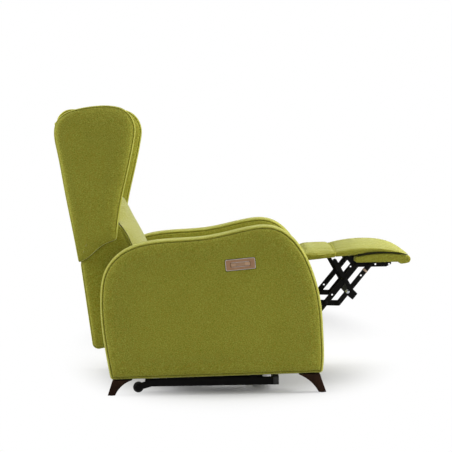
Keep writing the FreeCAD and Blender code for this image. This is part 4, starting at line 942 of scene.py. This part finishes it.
def make_lumbar():
    form = lumbar_form()
    w = np.linspace(LUMBAR_LOW + 0.012, LUMBAR_HIGH - 0.006, 90)
    half = table_of(LUMBAR_HALF, w)

    def edges(off):
        return [leaned(box_front(w) + off, side * (half - off), w) for side in HANDS]

    def base(points):
        u, up = upright(points)
        return held((box_front(up) - 0.002 - u) / 0.006)
    cushion = inflated("lumbar_cushion_cover", form.data, edges(0.001), base, 0.0015, 0.005, voxel=0.005)
    bpy.data.objects.remove(form)
    # The lighter fabric paints the highlight on the lumbar cushion.
    dress(cushion, "lumbar_cushion", LIT_FABRIC)
    # Dark cords along the cushion's sides: painted shade in the gap beside the box.
    trim(join("lumbar_edge_shade", [tube("line", path, 0.0014) for path in edges(0.0005)]), "back", SHADE)


def make_head():
    share, width, front = section_lines(HEAD_SECTIONS)
    u, w = BACK_FRONT + front * HEAD_DEPTH - HEAD_ROLL, HEAD_LOW + share * HEAD_HEIGHT
    seams = [leaned(u, side * (width * HEAD_HALF - 0.003), w) for side in HANDS]
    cushion = inflated("head_cushion_cover", NODES["head_cushion"].data, seams, back_base, 0.005, 0.014,
                       shape=rolled)
    # The lighter fabric paints the highlight on the head cushion.
    dress(cushion, "head_cushion", LIT_FABRIC)
    cords = [tube("line", laid_on(cushion, even_path(path, 120), 0.0006), 0.0024) for path in seams]
    trim(join("head_piping", cords), "back", PIPING_HIGHLIGHT)


# Footrest

PAD_SEAM_X, PAD_LOW_Z, PAD_HALF = 0.4012, 0.5183, 0.246


def pad_base(points):
    """1 on the underside of the leg pad, falling to 0 above it."""
    x, _, z = points.T
    return held((PAD_LOW_Z - np.clip(0.4752 - x, 0, 0.3) * 0.0775 + 0.009 - z) / 0.006)


def meet(points):
    """Both pads' points near their common seam drawn together and pinched down a little. The side edges of
    the top drop towards the rear, and the underside is a little narrower towards the tip."""
    made = points.copy()
    x, y, z = points.T
    away, height = x - PAD_SEAM_X, z - PAD_LOW_Z
    made[:, 0] -= away * np.exp(-(away / 0.010) ** 2) * 0.9
    made[:, 2] -= 0.0030 * np.exp(-(away / 0.008) ** 2) * held(height / 0.03)
    drop = 0.019 * held((np.abs(y) - 0.13) / 0.116) ** 1.6 * held((0.47 - x) / 0.12)
    made[:, 2] -= drop * held((height - 0.004) / 0.030)
    low = held((0.010 - height) / 0.010) * held((x - 0.43) / 0.03)
    made[:, 1] *= 1 - 0.026 * low ** 2
    return made


def make_leg_pads():
    def pull(points):
        x, y, _ = points.T
        fan = y * 95 + np.sin(y * 31) * 1.7 + x * 26
        return np.sin(fan) * np.exp(-np.abs(x - PAD_SEAM_X) / 0.055) * (1 - pad_base(points))
    across = np.linspace(-1, 1, 90)
    seam = [level(PAD_SEAM_X, across * PAD_HALF, PAD_LOW_Z + 0.024 + 0.012 * (1 - across ** 2))]
    pads = []
    for node, cap, fill in (("leg_pad", 0.011, 0.8), ("flap_pad", 0.004, 0.7)):
        pad = inflated(node + "_cover", NODES[node].data, seam, pad_base, 0.003, cap, voxel=0.005)
        folds(pad, 0.0011, pull)
        put(pad.data, meet(coordinates(pad.data)))
        dress(pad, node, FABRIC)
        pads.append(pad)
    # A pale cord along the valley between pad and flap: painted highlight along the seam.
    cord = tube("pad_valley_highlight", pad_valley(pads) - (0, 0, 0.0016), 0.0018, across=(0, 0, 1))
    trim(cord, "footrest", PIPING_HIGHLIGHT)


def pad_valley(pieces):
    """The line where pad and flap meet, found from inside, smoothed, and carried down both sides."""
    trees = [tree_of(piece) for piece in pieces]
    across = np.linspace(-0.236, 0.236, 90)
    low = PAD_LOW_Z + 0.012
    rise = [max(hit_from(trees, Vector((PAD_SEAM_X + shift, y, low)), Vector((0, 0, 1)))
                for shift in (-0.004, 0.004)) for y in across]
    rise = smoothed_run(np.array(rise), 12)
    top = level(PAD_SEAM_X, across, low + rise)
    down = np.linspace(0.012 + rise[0] - 0.008, 0.002, 14)
    first, last = (level(PAD_SEAM_X, side * 0.2455, PAD_LOW_Z + down) for side in HANDS)
    return even_path(np.vstack((first[::-1], top, last)), 160)


def make_footrest_board():
    """The covered board: its upper side edges are rolled in, so that a dark gap runs under the pad, and a
    near-black cord along each side paints the shade in that gap.
    """
    made = remeshed("footrest_board_cover", NODES["footrest_wrap"].data, 0.003, 0.0)
    points = coordinates(made.data)
    along, _, high = points.T
    first, last = along.min(), along.max()
    bins = np.round((along - first) / 0.004).astype(int)
    top = np.full(bins.max() + 1, -9.0)
    np.maximum.at(top, bins, high)
    radius = 0.011 + 0.004 * held((0.62 - along) / 0.2)
    drop = np.clip(radius - (top[bins] - high), 0, radius)
    points[:, 1] *= 1 - (radius - np.sqrt(radius ** 2 - drop ** 2)) / PAD_HALF
    put(made.data, points)
    dress(shaded(made), "footrest_wrap", FABRIC)
    # Near-black cords along the pad's lower side edges: painted shade in the gap under the pad.
    x = np.linspace(first + 0.012, last - 0.012, 80)
    line = smoothed_run(np.interp(x, first + 0.004 * np.arange(len(top)), top), 8)
    high = 0.0048 - 0.0034 * np.linspace(0, 1, 80) ** 1.5
    turn = turns(12)[None]
    for word, side in SIDES:
        y = side * (0.2446 + 0.0022 * np.cos(turn))
        z = line[:, None] + 0.0008 + high[:, None] * np.sin(turn)
        trim(grid_mesh("gap_shade_" + word, level(x[:, None], y, z)), "footrest", SHADE)
    # A near-black strip under the board's front lip.
    y = np.linspace(-0.2415, 0.2415, 7)[:, None]
    x, z = 0.6615 + 0.0135 * np.cos(turn) + y * 0, 0.4912 + 0.0040 * np.sin(turn) + y * 0
    trim(grid_mesh("lip_black_strip", level(x, y, z)), "footrest", LIP_BLACK)


# Rigid pieces whose edges are eased

EASED = ((0.0022, "front_legs rear_legs"), (0.0016, "base_rails base_cross_tubes"),
         (0.0014, "tube_end_caps"), (0.0006, "side_plate_right side_plate_left crank_arm_right crank_arm_left"),
         (0.0006, "link_one_right link_one_left link_two_right link_two_left flap_props"),
         (0.0006, "foot_bracket_right foot_bracket_left"), (0.0018, "mech_cross_tubes"),
         (0.0010, "arm_brackets"), (0.0006, "back_arms"))


def make_rigid():
    """Paints the pieces carried over from the CAD model and eases the edges of those in the table."""
    for node, piece in NODES.items():
        painted(piece, paint_for(node))
    for width, nodes in EASED:
        for node in nodes.split():
            eased(node, width)


# Rivet heads over the linkage's pins

BOLT_PLACE, LINK_OUTER_Y = (0.4487, 0.3762), 0.2205
BAND_PLACE, BAND_ALONG, BAND_HALF = (0.5189, 0.4582), (0.6420, 0.7667), (0.0042, 0.0105)
BAND_Y = (LINK_OUTER_Y - 0.0035, LINK_OUTER_Y + 0.0003)
# The pins of each body: their places, and how far out their heads sit outside and inside
RIVETS = {"crank": (((0.361055, 0.332468), (0.412018, 0.330510)), LINK_OUTER_Y, 0.212),
          "first_links": (((0.439014, 0.425706),), 0.225, 0.2165),
          "footrest": (((0.484213, 0.479763), (0.535176, 0.477805)), LINK_OUTER_Y, 0.212)}
# Outlines of a rivet's head and a bolt's head, from the rim to the crown
DOME = ((0.0085, 0.0), (0.0085, 0.0009), (0.0078, 0.0019), (0.0058, 0.0029), (0.0030, 0.0034), (0.0, 0.0035))
BOLT = ((0.0082, -0.002), (0.0082, 0.0006), (0.0074, 0.0012), (0.0040, 0.0014), (0.0038, 0.0042),
        (0.0030, 0.0052), (0.0, 0.0055))


def make_rivets():
    for body, (places, outer, inner) in RIVETS.items():
        made = [turned("head", DOME, (x, side * out, z), (0, side * way, 0))
                for x, z in places for side in HANDS for out, way in ((outer, 1), (inner, -1))]
        trim(join(body + "_rivet_heads", made), body, STEEL)
    bolts = [turned("bolt", BOLT, (BOLT_PLACE[0], side * LINK_OUTER_Y, BOLT_PLACE[1]), (0, side, 0))
             for side in HANDS]
    trim(join("tie_bar_bolts", bolts), "second_links", RIVET)


def make_bands():
    """A nylon band round each second link, a little proud of its outer face."""
    bands = [flat_bar("band", BAND_PLACE, np.array(BAND_ALONG), *BAND_HALF, [side * y for y in BAND_Y])
             for side in HANDS]
    trim(join("link_bands", bands), "second_links", NYLON)


# Control plate and the seat's front

PLATE_CENTRE, PLATE_TILT = (0.0245, 0.5035), math.radians(4.6)
PLATE_HALF, PLATE_ROUND = (0.057, 0.021), 0.004
SLOT_HALF, SLOT_Y, SLOT_END = (0.0375, 0.0085), -0.3825, 0.0022
BRIDGE_HALF, BRIDGE_GAP, BRIDGE_Y = 0.0079, 0.0120, (-0.3812, -0.3740)


def rounded_box(half):
    """A rectangle with round corners about the plate's centre, tilted as the plate is."""
    turn = turns(64)
    round_way = np.stack((np.cos(turn), np.sin(turn)), axis=1)
    ring = np.sign(round_way) * (np.array(half) - PLATE_ROUND) + PLATE_ROUND * round_way
    ring = even_path(ring, 200, closed=True)
    (x, z), c, s = ring.T, math.cos(PLATE_TILT), math.sin(PLATE_TILT)
    return PLATE_CENTRE[0] + x * c - z * s, PLATE_CENTRE[1] + x * s + z * c


def make_plate_trim():
    """The plate's bright edge as a painted highlight, its shadow line in the cover as painted shade, the fine
    bead round the slot, and dark cords at the slot's ends as painted shade.
    """
    # The pale rim paints the edge highlight; the near-black cord paints the shadow line round the plate.
    rows = (("plate_edge", -0.0006, -0.3817, 0.0009, EDGE_HIGHLIGHT, "plated_steel"),
            ("plate_shadow", 0.0010, -0.3800, 0.0012, SHADE, "upholstery"))
    for name, wider, y, thick, finish, slot in rows:
        x, z = rounded_box([half + wider for half in PLATE_HALF])
        trim(tube(name, level(x, y, z), thick, closed=True), "base", finish)
    x, z = rounded_box(SLOT_HALF)
    from_x, from_z = x - PLATE_CENTRE[0], z - PLATE_CENTRE[1]
    along = from_x * math.cos(PLATE_TILT) + from_z * math.sin(PLATE_TILT)
    ends = [along > SLOT_HALF[0] - SLOT_END, along < SLOT_END - SLOT_HALF[0]]
    above, between = from_z > from_x * math.tan(PLATE_TILT), ~ends[0] & ~ends[1]
    path = level(x, SLOT_Y, z)
    # The bead runs along the slot's sides; dark cords at its ends paint the shade in the rounded ends.
    for name, runs, thick, finish, slot in (
            ("slot_bead", [above & between, ~above & between], 0.0006, RIVET, "plated_steel"),
            ("slot_end_shade", ends, 0.0011, SHADE, "upholstery")):
        trim(join(name, [tube("run", run_of(path, run), thick) for run in runs]), "base", finish)


def make_bridge():
    """The lighter bridge between the two buttons, just below the face of the control plate."""
    def middle(node):
        return np.array(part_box(node))[:, ::2].mean(axis=0)
    first, second = middle("button_recline"), middle("button_footrest")
    way = second - first
    span = np.linalg.norm(way)
    bridge = flat_bar("slot_bridge", (first + second) / 2, way / span, span / 2 - BRIDGE_GAP, BRIDGE_HALF,
                      BRIDGE_Y)
    trim(shaded(bridge, False), "base", KEYS)


def make_apron():
    """The cover drawn down over the front rail of the seat, with its rolled lower edge."""
    low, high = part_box("seat_frame")
    front, half = high[0], (high[1] - low[1]) / 2 - 0.002
    panel = flat_bar("panel", np.array((front + 0.0005, (low[2] + high[2]) / 2 - 0.001)), np.array((1, 0)),
                     0.0015, (high[2] - low[2]) / 2, (-half, half))
    edge = level(front + 0.0006, np.linspace(-half, half, 12), low[2] - 0.001)
    roll = tube("roll", edge, 0.0028, across=(0, 0, 1))
    trim(join("seat_front_apron", [shaded(panel, False), roll]), "base", FABRIC)


make_camera()
make_floor()
make_light()
for word, side in SIDES:
    make_arm(word, side)
    make_wing(word, side)
make_back_shell()
make_outer_back()
make_seat()
make_lumbar()
make_head()
make_leg_pads()
make_footrest_board()
make_rigid()
make_rivets()
make_bands()
make_apron()
make_plate_trim()
make_bridge()

scene = bpy.context.scene
scene.view_settings.view_transform = "Standard"
